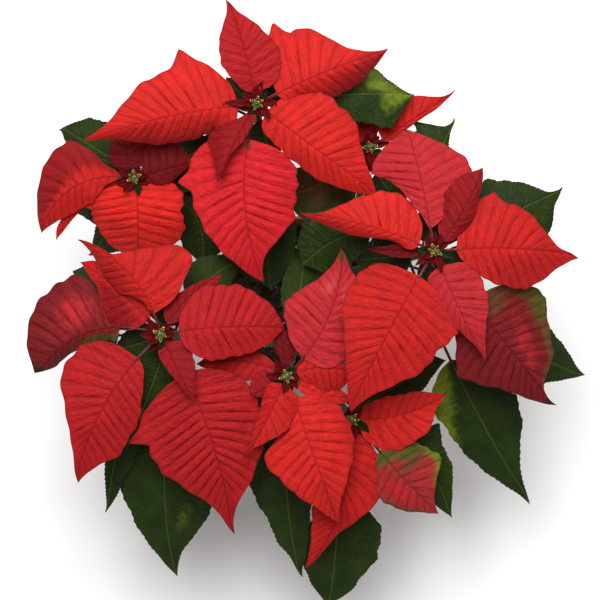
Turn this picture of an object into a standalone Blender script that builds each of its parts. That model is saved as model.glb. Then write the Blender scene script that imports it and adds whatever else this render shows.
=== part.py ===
"""A potted poinsettia: three rooted cuttings in a plain round pot, branching into seven leafy stems.

Each stem ends in a rosette of red bracts round a small cluster of yellow-green cyathia. The part stands
on the pot's flat base, with the origin at the base's centre and +Z up. Lengths in the tables are in
millimetres and angles in degrees; millimetres become metres only where a mesh is made.
"""

import math
from collections import namedtuple

import bmesh
import bpy
from mathutils import Vector

MM = 0.001

# Pot, a plain plastic flower pot with a rim band
POT_HEIGHT = 130.0
POT_BASE_RADIUS = 52.0
POT_NECK_RADIUS = 68.0
POT_RIM_RADIUS = 75.0
POT_RIM_HEIGHT = 24.0
POT_WALL = 2.6
POT_FLOOR = 4.0
POT_EDGE = 1.5
POT_SHOULDER = 4.0
POT_SIDES = 36
DRAIN_HOLES = 5
DRAIN_RADIUS = 5.0
DRAIN_CIRCLE = 34.0

# Soil, which stops below the rim
SOIL_EDGE_HEIGHT = 110.0
SOIL_CROWN = 5.0
SOIL_LUMP = 1.7
SOIL_CLEARANCE = 0.5

# Gap between pieces that touch
SEAT_GAP = 0.3

# Stems
STEM_SIDES = 8
TRUNK_RADIUS = 5.6
FORK_RADIUS = 4.4
BRANCH_RADIUS = 3.9
BRANCH_TOP_RADIUS = 2.7
TRUNK_ROOT_Z = 68.0
BRANCH_RINGS = 6
NECK_LENGTH = 4.0

# Heads: a stub of stem that the bracts sit on, and the cyathia above it
STUB_RADIUS = 3.3
STUB_LENGTH = 18.0
CYATHIUM_RADIUS = 2.5
CYATHIUM_LENGTH = 6.0
CYATHIUM_RING = 4.6
CYATHIA_IN_RING = 5
CYATHIA_FOOT = 2.0

# Blades: bracts and leaves
PETIOLE_RADIUS = 1.3
BLADE_THICKNESS = 0.8
TIP_HALF_WIDTH = 0.6
STATIONS = (0.10, 0.24, 0.38, 0.53, 0.69, 0.85)
OVATE = (0.62, 0.93, 1.0, 0.88, 0.62, 0.30)
NARROW = 20.0
WAVE_RATE = 8.5
BRACT_PHASE = 2.3
LEAF_PHASE = 1.7

Blade = namedtuple("Blade", "tip petiole left right tilt arch bow drop wave", defaults=(0, 1.5))
Leaf = namedtuple("Leaf", "along blade")
Branch = namedtuple("Branch", "head leaves")
Cutting = namedtuple("Cutting", "name foot fork branches")

# How the tables describe a bract or a leaf:
# its tip, and its petiole's length;
# its half widths at the STATIONS, left and right seen from above looking from root to tip, or one
# number for a plain ovate half that is this wide at its widest;
# the tilt of its left and right halves, upwards if positive;
# how far its midrib arches up and bows to the left, how far below its head's centre it grows, and how
# far its edges wave.

# Head centres, at the top of each stem
HEADS = {
    "top": (-34, 154, 366),
    "left": (-133, 98, 322),
    "lower_left": (-110, -27, 352),
    "bottom": (-11, -61, 334),
    "right": (105, 38, 372),
    "upper_right": (57, 124, 300),
    "lower_right": (43, -98, 292),
}

# The bracts round each head, with their tips measured from its centre
BRACTS = {
    "top": [
        Blade((-23, 82, 2), 9, (11, 17, 20, 19, 13, 5), (21, 26, 26, 21, 13, 4),
              (4, -8), 9, -2, 6),
        Blade((104, 44, -14), 18, (31, 50, 42, 31, 12, 3), (12, 20, 28, 29, 27, 17),
              (-14, -50), 10, 2, 8),
        Blade((96, -70, -26), 10, (29, 39, 40, 38, 26, 12), (16, 18, 20, 20, 17, 11),
              (-10, -24), 11, -1, 7),
        Blade((4, -141, -52), 29, (35, 43, 41, 40, 29, 7), (38, 47, 42, 38, 27, 14),
              (-8, -6), 14, -12, 12),
        Blade((-30, -62, 2), 6, (6, 6, 6, 3, 1, 1), (4, 12, 20, 24, 16, 7),
              (-6, -30), 7, -2, 6),
        Blade((-138, -29, -14), 15, (26, 31, 34, 32, 22, 8), (30, 45, 38, 33, 19, 6),
              (-56, -8), 11, -4, 9),
        Blade((-26, 1, 1), 5, 3, 3, (0, 0), 1, 0, 6, 0),
        Blade((4, 18, 2), 4, 3, 3, (0, 0), 0.5, 0, 6, 0),
    ],
    "left": [
        Blade((-79, -43, -26), 11, (5, 13, 18, 18, 15, 9), (9, 29, 44, 41, 28, 15),
              (-12, -30), 12, -17, 5),
        Blade((-67, -49, -30), 14, (2, 2, 2, 2, 2, 2), (8, 9, 8, 7, 6, 5),
              (-16, -16), 8, -8, 12),
        Blade((-1, -67, -46), 7, (22, 33, 36, 37, 36, 26), (26, 42, 41, 42, 41, 33),
              (-12, -12), 18, 3, 7),
        Blade((-15, 46, -14), 6, 15, 19, (-10, -10), 6, 0, 9),
        Blade((48, 14, -8), 6, (12, 24, 29, 29, 25, 15), 12, (-6, -18), 6, 0, 6),
    ],
    "lower_left": [
        Blade((-65, 76, 0), 17, (3, 16, 28, 27, 21, 10), (29, 48, 40, 19, 2, 1),
              (-50, -6), 9, -12, 5),
        Blade((-66, 58, -26), 15, (19, 25, 24, 19, 9, 5), (6, 8, 9, 10, 11, 8),
              (-14, -10), 6, -3, 12),
        Blade((-104, -34, -50), 35, (13, 13, 13, 12, 11, 11), (5, 43, 49, 45, 39, 25),
              (-46, -12), 13, -19, 14),
        Blade((-71, -120, -34), 27, (15, 24, 29, 31, 29, 14), (36, 45, 43, 31, 16, 6),
              (-14, -10), 13, -10, 9),
        Blade((26, -53, 2), 8, (15, 17, 16, 14, 10, 6), (9, 9, 8, 6, 4, 2),
              (-20, -12), 6, 0, 6),
        Blade((98, 5, -22), 15, (21, 32, 34, 34, 29, 20), (19, 25, 26, 24, 21, 15),
              (-8, -10), 12, 3, 5),
        Blade((54, -165, -62), 38, (32, 46, 45, 40, 24, 6), (39, 59, 50, 48, 31, 10),
              (-10, -8), 15, 11, 12),
        Blade((48, 49, -18), 10, (8, 9, 8, 6, 4, 1), (6, 7, 9, 9, 8, 6),
              (-10, -10), 5, 5, 11),
        Blade((-13, 6, 0), 4, 3, 3, (0, 0), 0.5, 0, 6, 0),
    ],
    "bottom": [
        Blade((45, 103, 0), 20, (23, 34, 36, 32, 19, 8), (25, 30, 28, 25, 19, 7),
              (-10, -12), 11, -12, 6),
        Blade((57, 2, -6), 9, (8, 8, 8, 7, 5, 2), (12, 19, 23, 24, 24, 19),
              (-12, -24), 7, 6, 6),
        Blade((53, -18, -16), 11, (7, 9, 10, 10, 9, 5), (5, 6, 7, 7, 6, 5),
              (-20, -14), 7, -4, 8),
        Blade((42, -121, -28), 19, (27, 36, 36, 33, 21, 8), (8, 24, 39, 34, 24, 11),
              (-14, -10), 12, 0, 8),
        Blade((-34, -67, 2), 7, (17, 19, 19, 15, 8, 1), (12, 12, 10, 8, 5, 3),
              (-14, 26), 6, 2, 5),
        Blade((-73, 8, -26), 10, (8, 13, 16, 16, 12, 7), (7, 9, 10, 9, 7, 5),
              (-10, -8), 5, -8, 10),
        Blade((-8, 48, -12), 8, (3, 5, 7, 6, 5, 3), (7, 10, 10, 8, 5, 3),
              (-20, -20), 5, -1, 7),
        Blade((-28, -16, -4), 6, 10, 10, (-10, -10), 3, 0, 9),
    ],
    "right": [
        Blade((-20, 98, -26), 20, (4, 10, 15, 23, 35, 28), (13, 25, 39, 43, 35, 20),
              (-12, -14), 14, -1, 5),
        Blade((38, 65, 3), 11, (10, 17, 20, 21, 19, 13), (8, 12, 12, 10, 7, 4),
              (-26, -34), 7, -3, 6),
        Blade((116, -3, -22), 18, (25, 41, 38, 32, 18, 3), (14, 25, 30, 32, 27, 12),
              (-10, -12), 12, 4, 7),
        Blade((-67, -127, -22), 23, (30, 49, 41, 40, 25, 10), (39, 45, 43, 34, 21, 10),
              (-8, -12), 13, -2, 9),
        Blade((42, -87, -16), 13, (24, 27, 26, 22, 14, 6), (15, 16, 14, 11, 6, 1),
              (-10, -24), 9, -2, 4),
        Blade((-106, 30, -14), 13, (8, 8, 12, 15, 13, 7), (23, 31, 31, 23, 11, 2),
              (-50, -10), 9, -5, 8),
        Blade((101, -125, -66), 52, (35, 48, 47, 38, 27, 2), (23, 36, 45, 38, 23, 12),
              (-12, -12), 14, 0, 15),
        Blade((-53, 2, -22), 8, 6, 5, (10, 10), 3, 0, 12, 0.5),
        Blade((-15, -11, 0), 4, 3.5, 3.5, (0, 0), 0.5, 0, 6, 0),
    ],
    "upper_right": [
        Blade((70, 46, 2), 12, (22, 25, 22, 18, 9, 2), (5, 5, 4, 4, 4, 2),
              (8, -30), 4, 0, 4),
        Blade((-12, 34, -8), 6, 17, 15, (-10, -10), 4, 0, 6),
        Blade((3, -22, -8), 4, 8, 8, (-10, -10), 2, 0, 6),
    ],
    "lower_right": [
        Blade((77, 21, 2), 5, (13, 17, 18, 17, 15, 9), (20, 28, 28, 25, 19, 5),
              (20, -12), 6, -6, 5),
        Blade((71, -79, -18), 35, (14, 29, 32, 35, 20, 6), (11, 18, 27, 24, 20, 9),
              (-8, -10), 8, -1, 9),
        Blade((-38, -128, -38), 11, (19, 31, 30, 19, 6, 2), (12, 20, 23, 23, 18, 9),
              (-12, -10), 12, 12, 7),
    ],
}

# Cuttings in the pot. A leaf's root is a share of the way up its branch, and its tip is in the pot's frame.
CUTTINGS = (
    Cutting("cutting_left", (-22, 22), (-30, 38, 150), (
        Branch("top", (
            Leaf(0.9, Blade((92, 164, 318), 54, (11, 16, 20, 22, 14, 6), (11, 18, 22, 25, 27, 20),
                       (-10, -6), 7, 8)),
            Leaf(0.82, Blade((-25, 8, 258), 56, (19, 24, 26, 25, 23, 17), (18, 22, 23, 23, 20, 14),
                       (-8, -8), 9, 0)),
            Leaf(0.86, Blade((-115, 167, 290), 31, 20, 20,
                       (-8, -8), 8, -6)),
            Leaf(0.95, Blade((-60, 178, 328), 8, 15, 16, (-8, -8), 4, 0)),
            Leaf(0.96, Blade((-8, 188, 330), 6, 15, 15, (-8, -8), 4, 0)),
            Leaf(0.93, Blade((-20, 106, 312), 6, 17, 17, (-8, -8), 4, 0)),
            Leaf(0.45, Blade((-84, 158, 196), 26, 19, 19, (-10, -10), 9, 0)),
        )),
        Branch("left", (
            Leaf(0.9, Blade((-197, 142, 282), 29, (12, 14, 14, 14, 11, 8), (15, 23, 26, 23, 20, 11),
                       (-10, -12), 8, -2)),
            Leaf(0.8, Blade((-194, 76, 236), 45, 24, 24,
                       (-10, -10), 14, -4)),
            Leaf(0.86, Blade((-176, 36, 244), 26, 24, 24,
                       (-10, -10), 12, -2)),
            Leaf(0.92, Blade((-62, 136, 286), 8, 19, 26, (-8, -8), 5, 0)),
            Leaf(0.95, Blade((-162, 116, 296), 6, 15, 15, (-8, -8), 4, 0)),
            Leaf(0.84, Blade((-82, 30, 258), 18, (17, 20, 22, 22, 21, 16), (11, 18, 20, 21, 20, 17),
                       (-8, -8), 9, 18)),
            Leaf(0.5, Blade((-165, 88, 176), 26, 19, 19, (-10, -10), 11, 0)),
        )),
    )),
    Cutting("cutting_right", (26, 14), (40, 24, 152), (
        Branch("right", (
            Leaf(0.92, Blade((213, 90, 312), 46, (21, 33, 31, 26, 16, 3), (18, 25, 28, 30, 27, 10),
                       (-10, -12), 9, 0)),
            Leaf(0.84, Blade((238, -64, 250), 90, (21, 26, 26, 24, 18, 9), (10, 14, 17, 22, 22, 9),
                       (-10, -12), 14, -12)),
            Leaf(0.66, Blade((198, -174, 208), 97, (16, 24, 38, 31, 17, 5), (25, 32, 30, 26, 20, 9),
                       (-10, -12), 20, -8)),
            Leaf(0.88, Blade((2, 28, 298), 48, (15, 19, 22, 23, 22, 20), (14, 19, 24, 27, 27, 19),
                       (-8, -10), 8, -22)),
            Leaf(0.86, Blade((128, 148, 292), 54, (16, 22, 27, 28, 26, 6), (9, 11, 11, 9, 4, 1),
                       (-14, -14), 8, 9)),
            Leaf(0.9, Blade((42, 32, 290), 14, 20, 25, (-8, -8), 6, 0)),
            Leaf(0.96, Blade((103, 80, 334), 8, 16, 22, (-8, -8), 4, 0)),
            Leaf(0.96, Blade((136, 14, 332), 8, 21, 15, (-8, -8), 4, 0)),
            Leaf(0.5, Blade((150, 10, 190), 26, 19, 19, (-10, -10), 11, 0)),
        )),
        Branch("upper_right", (
            Leaf(0.9, Blade((-15, 85, 274), 15, (18, 27, 31, 31, 29, 20), (15, 19, 21, 22, 20, 16),
                       (-8, -8), 5, 4)),
            Leaf(0.84, Blade((84, 71, 272), 13, 20, 20,
                       (-8, -8), 7, 2)),
            Leaf(0.76, Blade((47, 187, 250), 37, 22, 22,
                       (-10, -10), 10, -4)),
            Leaf(0.5, Blade((104, 130, 188), 24, 19, 19, (-10, -10), 9, 0)),
        )),
    )),
    Cutting("cutting_front", (0, -26), (-4, -40, 148), (
        Branch("lower_left", (
            Leaf(0.76, Blade((-106, -236, 212), 83, (21, 34, 41, 42, 30, 10), (28, 39, 40, 33, 23, 12),
                       (-10, -10), 18, -13)),
            Leaf(0.93, Blade((-143, -123, 288), 22, (14, 19, 20, 17, 13, 7), (19, 19, 18, 17, 14, 10),
                       (-10, -10), 6, 2)),
            Leaf(0.84, Blade((-162, -179, 240), 65, (12, 17, 17, 16, 12, 7), (12, 13, 12, 10, 7, 3),
                       (-12, -12), 12, -12)),
            Leaf(0.9, Blade((-188, 23, 278), 43, (14, 15, 14, 14, 10, 5), (10, 13, 16, 19, 18, 15),
                       (-10, -10), 8, 1)),
            Leaf(0.8, Blade((-193, -22, 246), 60, 24, 24,
                       (-10, -10), 13, 4)),
            Leaf(0.88, Blade((-43, 36, 290), 32, 20, 20,
                       (-8, -8), 8, 10)),
            Leaf(0.95, Blade((-103, 14, 320), 6, 17, 17, (-8, -8), 4, 0)),
            Leaf(0.9, Blade((-154, -42, 298), 10, 18, 18, (-8, -8), 5, 0)),
            Leaf(0.45, Blade((-150, -62, 188), 34, 19, 19, (-10, -10), 11, 0)),
        )),
        Branch("bottom", (
            Leaf(0.8, Blade((0, -238, 206), 71, (16, 21, 22, 19, 15, 9), (24, 32, 27, 19, 14, 4),
                       (-12, -12), 17, -7)),
            Leaf(0.9, Blade((4, 40, 276), 39, (8, 13, 16, 16, 15, 11), (7, 13, 15, 16, 16, 11),
                       (-8, -8), 8, -1)),
            Leaf(0.8, Blade((-66, -150, 236), 12, 30, 26,
                       (-12, -12), 13, 4)),
            Leaf(0.45, Blade((-22, -134, 182), 26, 19, 19, (-10, -10), 11, 0)),
        )),
        Branch("lower_right", (
            Leaf(0.86, Blade((128, -185, 222), 59, (29, 25, 20, 18, 11, 5), (14, 18, 19, 18, 16, 9),
                       (-12, -12), 12, 18)),
            Leaf(0.68, Blade((25, -263, 196), 88, (26, 37, 39, 36, 27, 18), (17, 24, 29, 30, 26, 16),
                       (-10, -10), 17, 4)),
            Leaf(0.88, Blade((118, -60, 244), 10, (14, 20, 23, 23, 21, 14), 20, (-8, -8), 6, 0)),
            Leaf(0.45, Blade((88, -128, 176), 32, 19, 19, (-10, -10), 11, 0)),
        )),
    )),
)

RED = (0.62, 0.02, 0.02, 1.0)
LEAF_GREEN = (0.03, 0.10, 0.02, 1.0)
CYATHIA_GREEN = (0.35, 0.42, 0.05, 1.0)
TERRACOTTA = (0.42, 0.14, 0.07, 1.0)
SOIL_BROWN = (0.03, 0.018, 0.01, 1.0)


def clear_scene():
    for obj in list(bpy.data.objects):
        bpy.data.objects.remove(obj)


def material(name, colour, roughness, metallic=0.0):
    made = bpy.data.materials.new(name)
    made.use_nodes = True
    shader = made.node_tree.nodes["Principled BSDF"]
    shader.inputs["Base Color"].default_value = colour
    shader.inputs["Roughness"].default_value = roughness
    shader.inputs["Metallic"].default_value = metallic
    return made


def new_object(name, points, faces, finish, smooth=True):
    """A mesh object from points in millimetres, with its faces turned outwards."""
    mesh = bpy.data.meshes.new(name)
    mesh.from_pydata([Vector(p) * MM for p in points], [], faces)
    work = bmesh.new()
    work.from_mesh(mesh)
    bmesh.ops.recalc_face_normals(work, faces=work.faces)
    work.to_mesh(mesh)
    work.free()
    if smooth:
        mesh.shade_smooth()
    mesh.materials.append(finish)
    obj = bpy.data.objects.new(name, mesh)
    bpy.context.scene.collection.objects.link(obj)
    return obj


def boolean(body, operation, others):
    """Apply one Boolean of the other objects, held in a collection, to the body, and remove them."""
    group = bpy.data.collections.new(body.name + "_others")
    bpy.context.scene.collection.children.link(group)
    for other in others:
        bpy.context.scene.collection.objects.unlink(other)
        group.objects.link(other)
    modifier = body.modifiers.new("joined", "BOOLEAN")
    modifier.operation = operation
    modifier.operand_type = "COLLECTION"
    modifier.collection = group
    modifier.solver = "EXACT"
    bpy.context.view_layer.objects.active = body
    bpy.ops.object.modifier_apply(modifier=modifier.name)
    for other in others:
        bpy.data.objects.remove(other)
    bpy.data.collections.remove(group)
    return body


def bend(start, control, end, t):
    """A point on the quadratic curve from start to end."""
    return start * (1 - t) ** 2 + control * 2 * t * (1 - t) + end * t ** 2


def half_widths(side):
    """Half widths at the STATIONS, from a table entry that lists them or names only the widest."""
    if isinstance(side, tuple):
        return side
    return tuple(side * share for share in OVATE)


def half_width(side, u):
    """Half width at u, from 0 at the blade's base to 1 at its tip, on straight runs between stations."""
    places = (0.0,) + STATIONS + (1.0,)
    widths = (0.0,) + half_widths(side) + (0.0,)
    for i in range(len(places) - 1):
        if u <= places[i + 1]:
            share = (u - places[i]) / (places[i + 1] - places[i])
            return widths[i] + (widths[i + 1] - widths[i]) * share
    return 0.0


def midrib(root, tip, blade):
    """The start, control point and end of a blade's midrib, which arches up and bows to one side."""
    run = tip - root
    sideways = Vector((-run.y, run.x, 0.0)).normalized()
    middle = (root + tip) / 2
    control = middle + Vector((0, 0, 2 * blade.arch)) + sideways * (2 * blade.bow)
    return root, control, tip


def blade_rows(root, tip, blade, stations, across, phase):
    """Rows of (point, half thickness) across the blade, from its petiole's root to its tip."""
    curve = midrib(root, tip, blade)
    length = sum(
        (bend(*curve, (i + 1) / 12) - bend(*curve, i / 12)).length for i in range(12)
    )
    base = blade.petiole / length
    rows = []
    for place in [None] + list(stations):
        t = 0.0 if place is None else base + (1 - base) * place
        u = 0.0 if place is None else place
        middle = bend(*curve, t)
        ahead = bend(*curve, min(t + 0.01, 1.0)) - bend(*curve, max(t - 0.01, 0.0))
        ahead.normalize()
        side = Vector((-ahead.y, ahead.x, 0.0)).normalized()
        up = ahead.cross(side)
        opening = min(1.0, u / 0.15)
        thick = PETIOLE_RADIUS + (BLADE_THICKNESS / 2 - PETIOLE_RADIUS) * min(1.0, u / 0.1)
        row = []
        for j in range(across + 1):
            v = 2.0 * j / across - 1.0
            right = v < 0
            half = half_width(blade.right if right else blade.left, u)
            half = max(half, PETIOLE_RADIUS if u < 0.5 else TIP_HALF_WIDTH)
            curl = math.radians(blade.tilt[1 if right else 0]) * opening * (0.5 + 0.5 * abs(v))
            ripple = math.sin(WAVE_RATE * u + phase + (2.0 if right else 0.0))
            wave = blade.wave * min(half / 20.0, 1.0) * v * v * ripple
            reach = half * abs(v)
            point = middle + side * math.copysign(reach * math.cos(curl), v)
            row.append((point + up * (reach * math.sin(curl) + wave), thick))
        rows.append((row, up))
    return rows


def blade_object(name, root, tip, blade, finish, phase, fine=True):
    """One closed blade with its petiole: two like faces a thickness apart, and a rim. A fine one is
    curved across each half."""
    widest = max(half_widths(blade.left) + half_widths(blade.right))
    stations = (0.0,) + (STATIONS[1::2] if widest < NARROW else STATIONS) + (1.0,)
    across = 4 if fine and widest >= NARROW else 2
    rows = blade_rows(Vector(root), Vector(tip), blade, stations, across, phase)
    count = len(rows)
    wide = across + 1
    points = [[row[j][0] for j in range(wide)] for row, _ in rows]
    upper, lower = [], []
    for i in range(count):
        for j in range(wide):
            along = points[min(i + 1, count - 1)][j] - points[max(i - 1, 0)][j]
            over = points[i][min(j + 1, across)] - points[i][max(j - 1, 0)]
            normal = along.cross(over).normalized()
            thick = rows[i][0][j][1]
            upper.append(points[i][j] + normal * thick)
            lower.append(points[i][j] - normal * thick)
    total = len(upper)
    faces = []
    for i in range(count - 1):
        for j in range(across):
            a, b = i * wide + j, (i + 1) * wide + j
            faces += [(a, b, b + 1), (a, b + 1, a + 1)]
            faces += [(total + a, total + b + 1, total + b), (total + a, total + a + 1, total + b + 1)]
        for j, turn in ((0, 1), (across, -1)):
            a, b = i * wide + j, (i + 1) * wide + j
            quad = (a, total + a, total + b, b)[::turn]
            faces.append(quad)
    for i, turn in ((0, 1), (count - 1, -1)):
        for j in range(across):
            a = i * wide + j
            faces.append((a, a + 1, total + a + 1, total + a)[::turn])
    return new_object(name, upper + lower, faces, finish)


def tube_object(name, centres, radii, finish, sides=STEM_SIDES):
    """A closed round tube through the centres, with a flat end at each end."""
    points, faces = [], []
    for i, centre in enumerate(centres):
        ahead = (centres[min(i + 1, len(centres) - 1)] - centres[max(i - 1, 0)]).normalized()
        side = ahead.cross(Vector((0.0, 1.0, 0.0))).normalized()
        other = ahead.cross(side)
        for k in range(sides):
            turn = 2 * math.pi * k / sides
            points.append(centre + (side * math.cos(turn) + other * math.sin(turn)) * radii[i])
    for i in range(len(centres) - 1):
        for k in range(sides):
            a, b = i * sides + k, i * sides + (k + 1) % sides
            faces.append((a, b, b + sides, a + sides))
    faces.append(tuple(range(sides)))
    last = (len(centres) - 1) * sides
    faces.append(tuple(range(last + sides - 1, last - 1, -1)))
    return new_object(name, points, faces, finish)


def turned_object(name, profile, sides, finish, lift=None):
    """A solid of revolution about Z from (radius, height) points; a radius of 0 is a pole."""
    points, rings, faces = [], [], []
    for radius, height in profile:
        if radius == 0.0:
            rings.append([len(points)] * sides)
            points.append(Vector((0, 0, height)))
            continue
        ring = []
        for k in range(sides):
            turn = 2 * math.pi * k / sides
            extra = lift(radius, turn, height) if lift else 0.0
            ring.append(len(points))
            points.append(Vector((radius * math.cos(turn), radius * math.sin(turn), height + extra)))
        rings.append(ring)
    for low, high in zip(rings, rings[1:]):
        for k in range(sides):
            n = (k + 1) % sides
            corners = [low[k], low[n], high[n], high[k]]
            face = [c for i, c in enumerate(corners) if c not in corners[:i]]
            if len(face) > 2:
                faces.append(tuple(face))
    return new_object(name, points, faces, finish, smooth=False)


def pot_inner_radius(height):
    """Inside radius of the pot's body at a height."""
    share = min(height / (POT_HEIGHT - POT_RIM_HEIGHT), 1.0)
    return POT_BASE_RADIUS + (POT_NECK_RADIUS - POT_BASE_RADIUS) * share - POT_WALL


def make_pot(finish):
    neck = POT_HEIGHT - POT_RIM_HEIGHT
    lip = POT_RIM_RADIUS - POT_WALL
    profile = [
        (0.0, 0.0),
        (POT_BASE_RADIUS - POT_EDGE, 0.0),
        (POT_BASE_RADIUS, POT_EDGE),
        (POT_NECK_RADIUS, neck),
        (POT_RIM_RADIUS - 2 * POT_EDGE, neck),
        (POT_RIM_RADIUS - POT_EDGE, neck + POT_EDGE),
        (POT_RIM_RADIUS, POT_HEIGHT - POT_EDGE),
        (POT_RIM_RADIUS - POT_EDGE, POT_HEIGHT),
        (lip, POT_HEIGHT),
        (lip - POT_EDGE, POT_HEIGHT - POT_EDGE),
        (lip - POT_SHOULDER, neck + POT_SHOULDER),
        (pot_inner_radius(neck), neck),
        (pot_inner_radius(POT_FLOOR), POT_FLOOR),
        (0.0, POT_FLOOR),
    ]
    pot = turned_object("pot", profile, POT_SIDES, finish)
    drains = []
    for k in range(DRAIN_HOLES):
        turn = 2 * math.pi * k / DRAIN_HOLES
        centre = Vector((DRAIN_CIRCLE * math.cos(turn), DRAIN_CIRCLE * math.sin(turn), 0.0))
        ends = [centre + Vector((0, 0, -2.0)), centre + Vector((0, 0, POT_FLOOR + 2.0))]
        drains.append(tube_object(f"drain_{k}", ends, [DRAIN_RADIUS] * 2, finish, sides=10))
    return boolean(pot, "DIFFERENCE", drains)


def soil_lump(radius, turn, height):
    """Small lumps on the soil's top, by formula, fading out at the wall."""
    if height < SOIL_EDGE_HEIGHT:
        return 0.0
    lump = math.sin(3 * turn + radius * 0.21) + math.sin(7 * turn - radius * 0.34)
    return SOIL_LUMP * lump * (1.0 - radius / POT_NECK_RADIUS)


def make_soil(finish):
    low = POT_FLOOR + SEAT_GAP
    neck = POT_HEIGHT - POT_RIM_HEIGHT
    edge = pot_inner_radius(neck) - SOIL_CLEARANCE
    foot = pot_inner_radius(low) - SOIL_CLEARANCE
    profile = [(0.0, low), (foot, low), (edge, neck), (edge, SOIL_EDGE_HEIGHT)]
    for share in (0.85, 0.62, 0.38, 0.18):
        rise = SOIL_CROWN * math.cos(share * math.pi / 2)
        profile.append((edge * share, SOIL_EDGE_HEIGHT + rise))
    profile.append((0.0, SOIL_EDGE_HEIGHT + SOIL_CROWN))
    soil = turned_object("soil", profile, POT_SIDES, finish, lift=soil_lump)
    holes = []
    for cutting in CUTTINGS:
        foot = Vector((*cutting.foot, TRUNK_ROOT_Z - SEAT_GAP))
        top = Vector((*cutting.foot, SOIL_EDGE_HEIGHT + SOIL_CROWN + 10.0))
        holes.append(tube_object("hole", [foot, top], [TRUNK_RADIUS + SOIL_CLEARANCE] * 2, finish, sides=16))
    return boolean(soil, "DIFFERENCE", holes)


def branch_curve(cutting, branch):
    """Start, control point and end of a branch, which spreads out first and then climbs to its head."""
    fork = Vector(cutting.fork)
    neck = Vector(HEADS[branch.head]) - Vector((0, 0, STUB_LENGTH + NECK_LENGTH))
    reach = neck - fork
    control = fork + Vector((reach.x * 0.72, reach.y * 0.72, reach.z * 0.42))
    return fork, control, neck


def make_cutting(cutting, finish):
    """A trunk with its branches, and the green leaves that grow from them, as one body."""
    foot = Vector((*cutting.foot, TRUNK_ROOT_Z))
    collar = Vector((*cutting.foot, SOIL_EDGE_HEIGHT + SOIL_CROWN + 3.0))
    fork = Vector(cutting.fork)
    centres = [foot, collar, collar.lerp(fork, 0.5) + Vector((0, 0, 2.0)), fork, fork + Vector((0, 0, 4.0))]
    radii = [TRUNK_RADIUS, TRUNK_RADIUS, TRUNK_RADIUS * 0.92, FORK_RADIUS + 0.8, FORK_RADIUS - 0.6]
    trunk = tube_object(cutting.name, centres, radii, finish)
    grown = []
    for number, branch in enumerate(cutting.branches):
        curve = branch_curve(cutting, branch)
        steps = [i / (BRANCH_RINGS - 1) for i in range(BRANCH_RINGS)]
        centres = [bend(*curve, t) for t in steps]
        centres.append(curve[2] + Vector((0, 0, NECK_LENGTH - SEAT_GAP)))
        radii = [BRANCH_RADIUS + (BRANCH_TOP_RADIUS - BRANCH_RADIUS) * t for t in steps]
        radii.append(BRANCH_TOP_RADIUS)
        grown.append(tube_object(f"branch_{branch.head}", centres, radii, finish))
        for k, leaf in enumerate(branch.leaves):
            root = bend(*curve, leaf.along)
            phase = LEAF_PHASE * k + number
            name = f"leaf_{branch.head}_{k}"
            grown.append(blade_object(name, root, leaf.blade.tip, leaf.blade, finish, phase, False))
    return boolean(trunk, "UNION", grown)


def make_bracts(head, finish):
    """A stub of stem with the bracts that grow from it, as one body."""
    centre = Vector(HEADS[head])
    ends = [-STUB_LENGTH, -STUB_LENGTH / 2, -2.0, 0.0]
    radii = [BRANCH_TOP_RADIUS + 0.1, STUB_RADIUS, STUB_RADIUS + 0.4, STUB_RADIUS * 0.7]
    stub = tube_object(f"bracts_{head}", [centre + Vector((0, 0, z)) for z in ends], radii, finish)
    grown = []
    for k, blade in enumerate(BRACTS[head]):
        root = centre - Vector((0, 0, blade.drop))
        tip = centre + Vector(blade.tip)
        grown.append(blade_object(f"bract_{head}_{k}", root, tip, blade, finish, BRACT_PHASE * k))
    return boolean(stub, "UNION", grown)


def make_cyathia(head, finish):
    """The cluster of small flower cups on top of a head, fused at their feet."""
    centre = Vector(HEADS[head]) + Vector((0, 0, SEAT_GAP))
    ends = [centre, centre + Vector((0, 0, CYATHIA_FOOT))]
    foot = tube_object(f"cyathia_{head}", ends, [CYATHIUM_RING + 0.6, CYATHIUM_RING], finish, 8)
    cups = []
    for k in range(CYATHIA_IN_RING + 1):
        turn = 2 * math.pi * k / CYATHIA_IN_RING + 0.4
        ring = CYATHIUM_RING if k < CYATHIA_IN_RING else 0.0
        lean = Vector((math.cos(turn), math.sin(turn), 0.0)) * ring
        low = centre + lean * 0.6 + Vector((0, 0, 0.8))
        rise = CYATHIUM_LENGTH * (1.0 if ring else 1.25)
        top = centre + lean * 1.1 + Vector((0, 0, rise))
        centres = [low, low.lerp(top, 0.55), top]
        radii = [CYATHIUM_RADIUS * r for r in (0.6, 1.0, 0.4)]
        cups.append(tube_object(f"cup_{k}", centres, radii, finish, 5))
    return boolean(foot, "UNION", cups)


def main():
    clear_scene()
    red = material("bract_red", RED, 0.55)
    green = material("leaf_green", LEAF_GREEN, 0.5)
    yellow = material("cyathia_green", CYATHIA_GREEN, 0.5)
    make_pot(material("pot_plastic", TERRACOTTA, 0.6))
    make_soil(material("soil", SOIL_BROWN, 0.95))
    for cutting in CUTTINGS:
        make_cutting(cutting, green)
    for head in HEADS:
        make_bracts(head, red)
        make_cyathia(head, yellow)


main()
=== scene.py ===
# %% [markdown]
# # A potted poinsettia, seen from straight above
#
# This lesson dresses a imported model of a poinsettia: seven rosettes of red bracts, the dark leaves under
# them, the stems, the soil and the pot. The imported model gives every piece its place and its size. Each
# step below builds the finer piece that stands for one of its solids, and gives it its finish.

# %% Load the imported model
import math
from collections import namedtuple

import bmesh
import bpy
import numpy as np
from mathutils import Euler, Matrix, Vector


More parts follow.
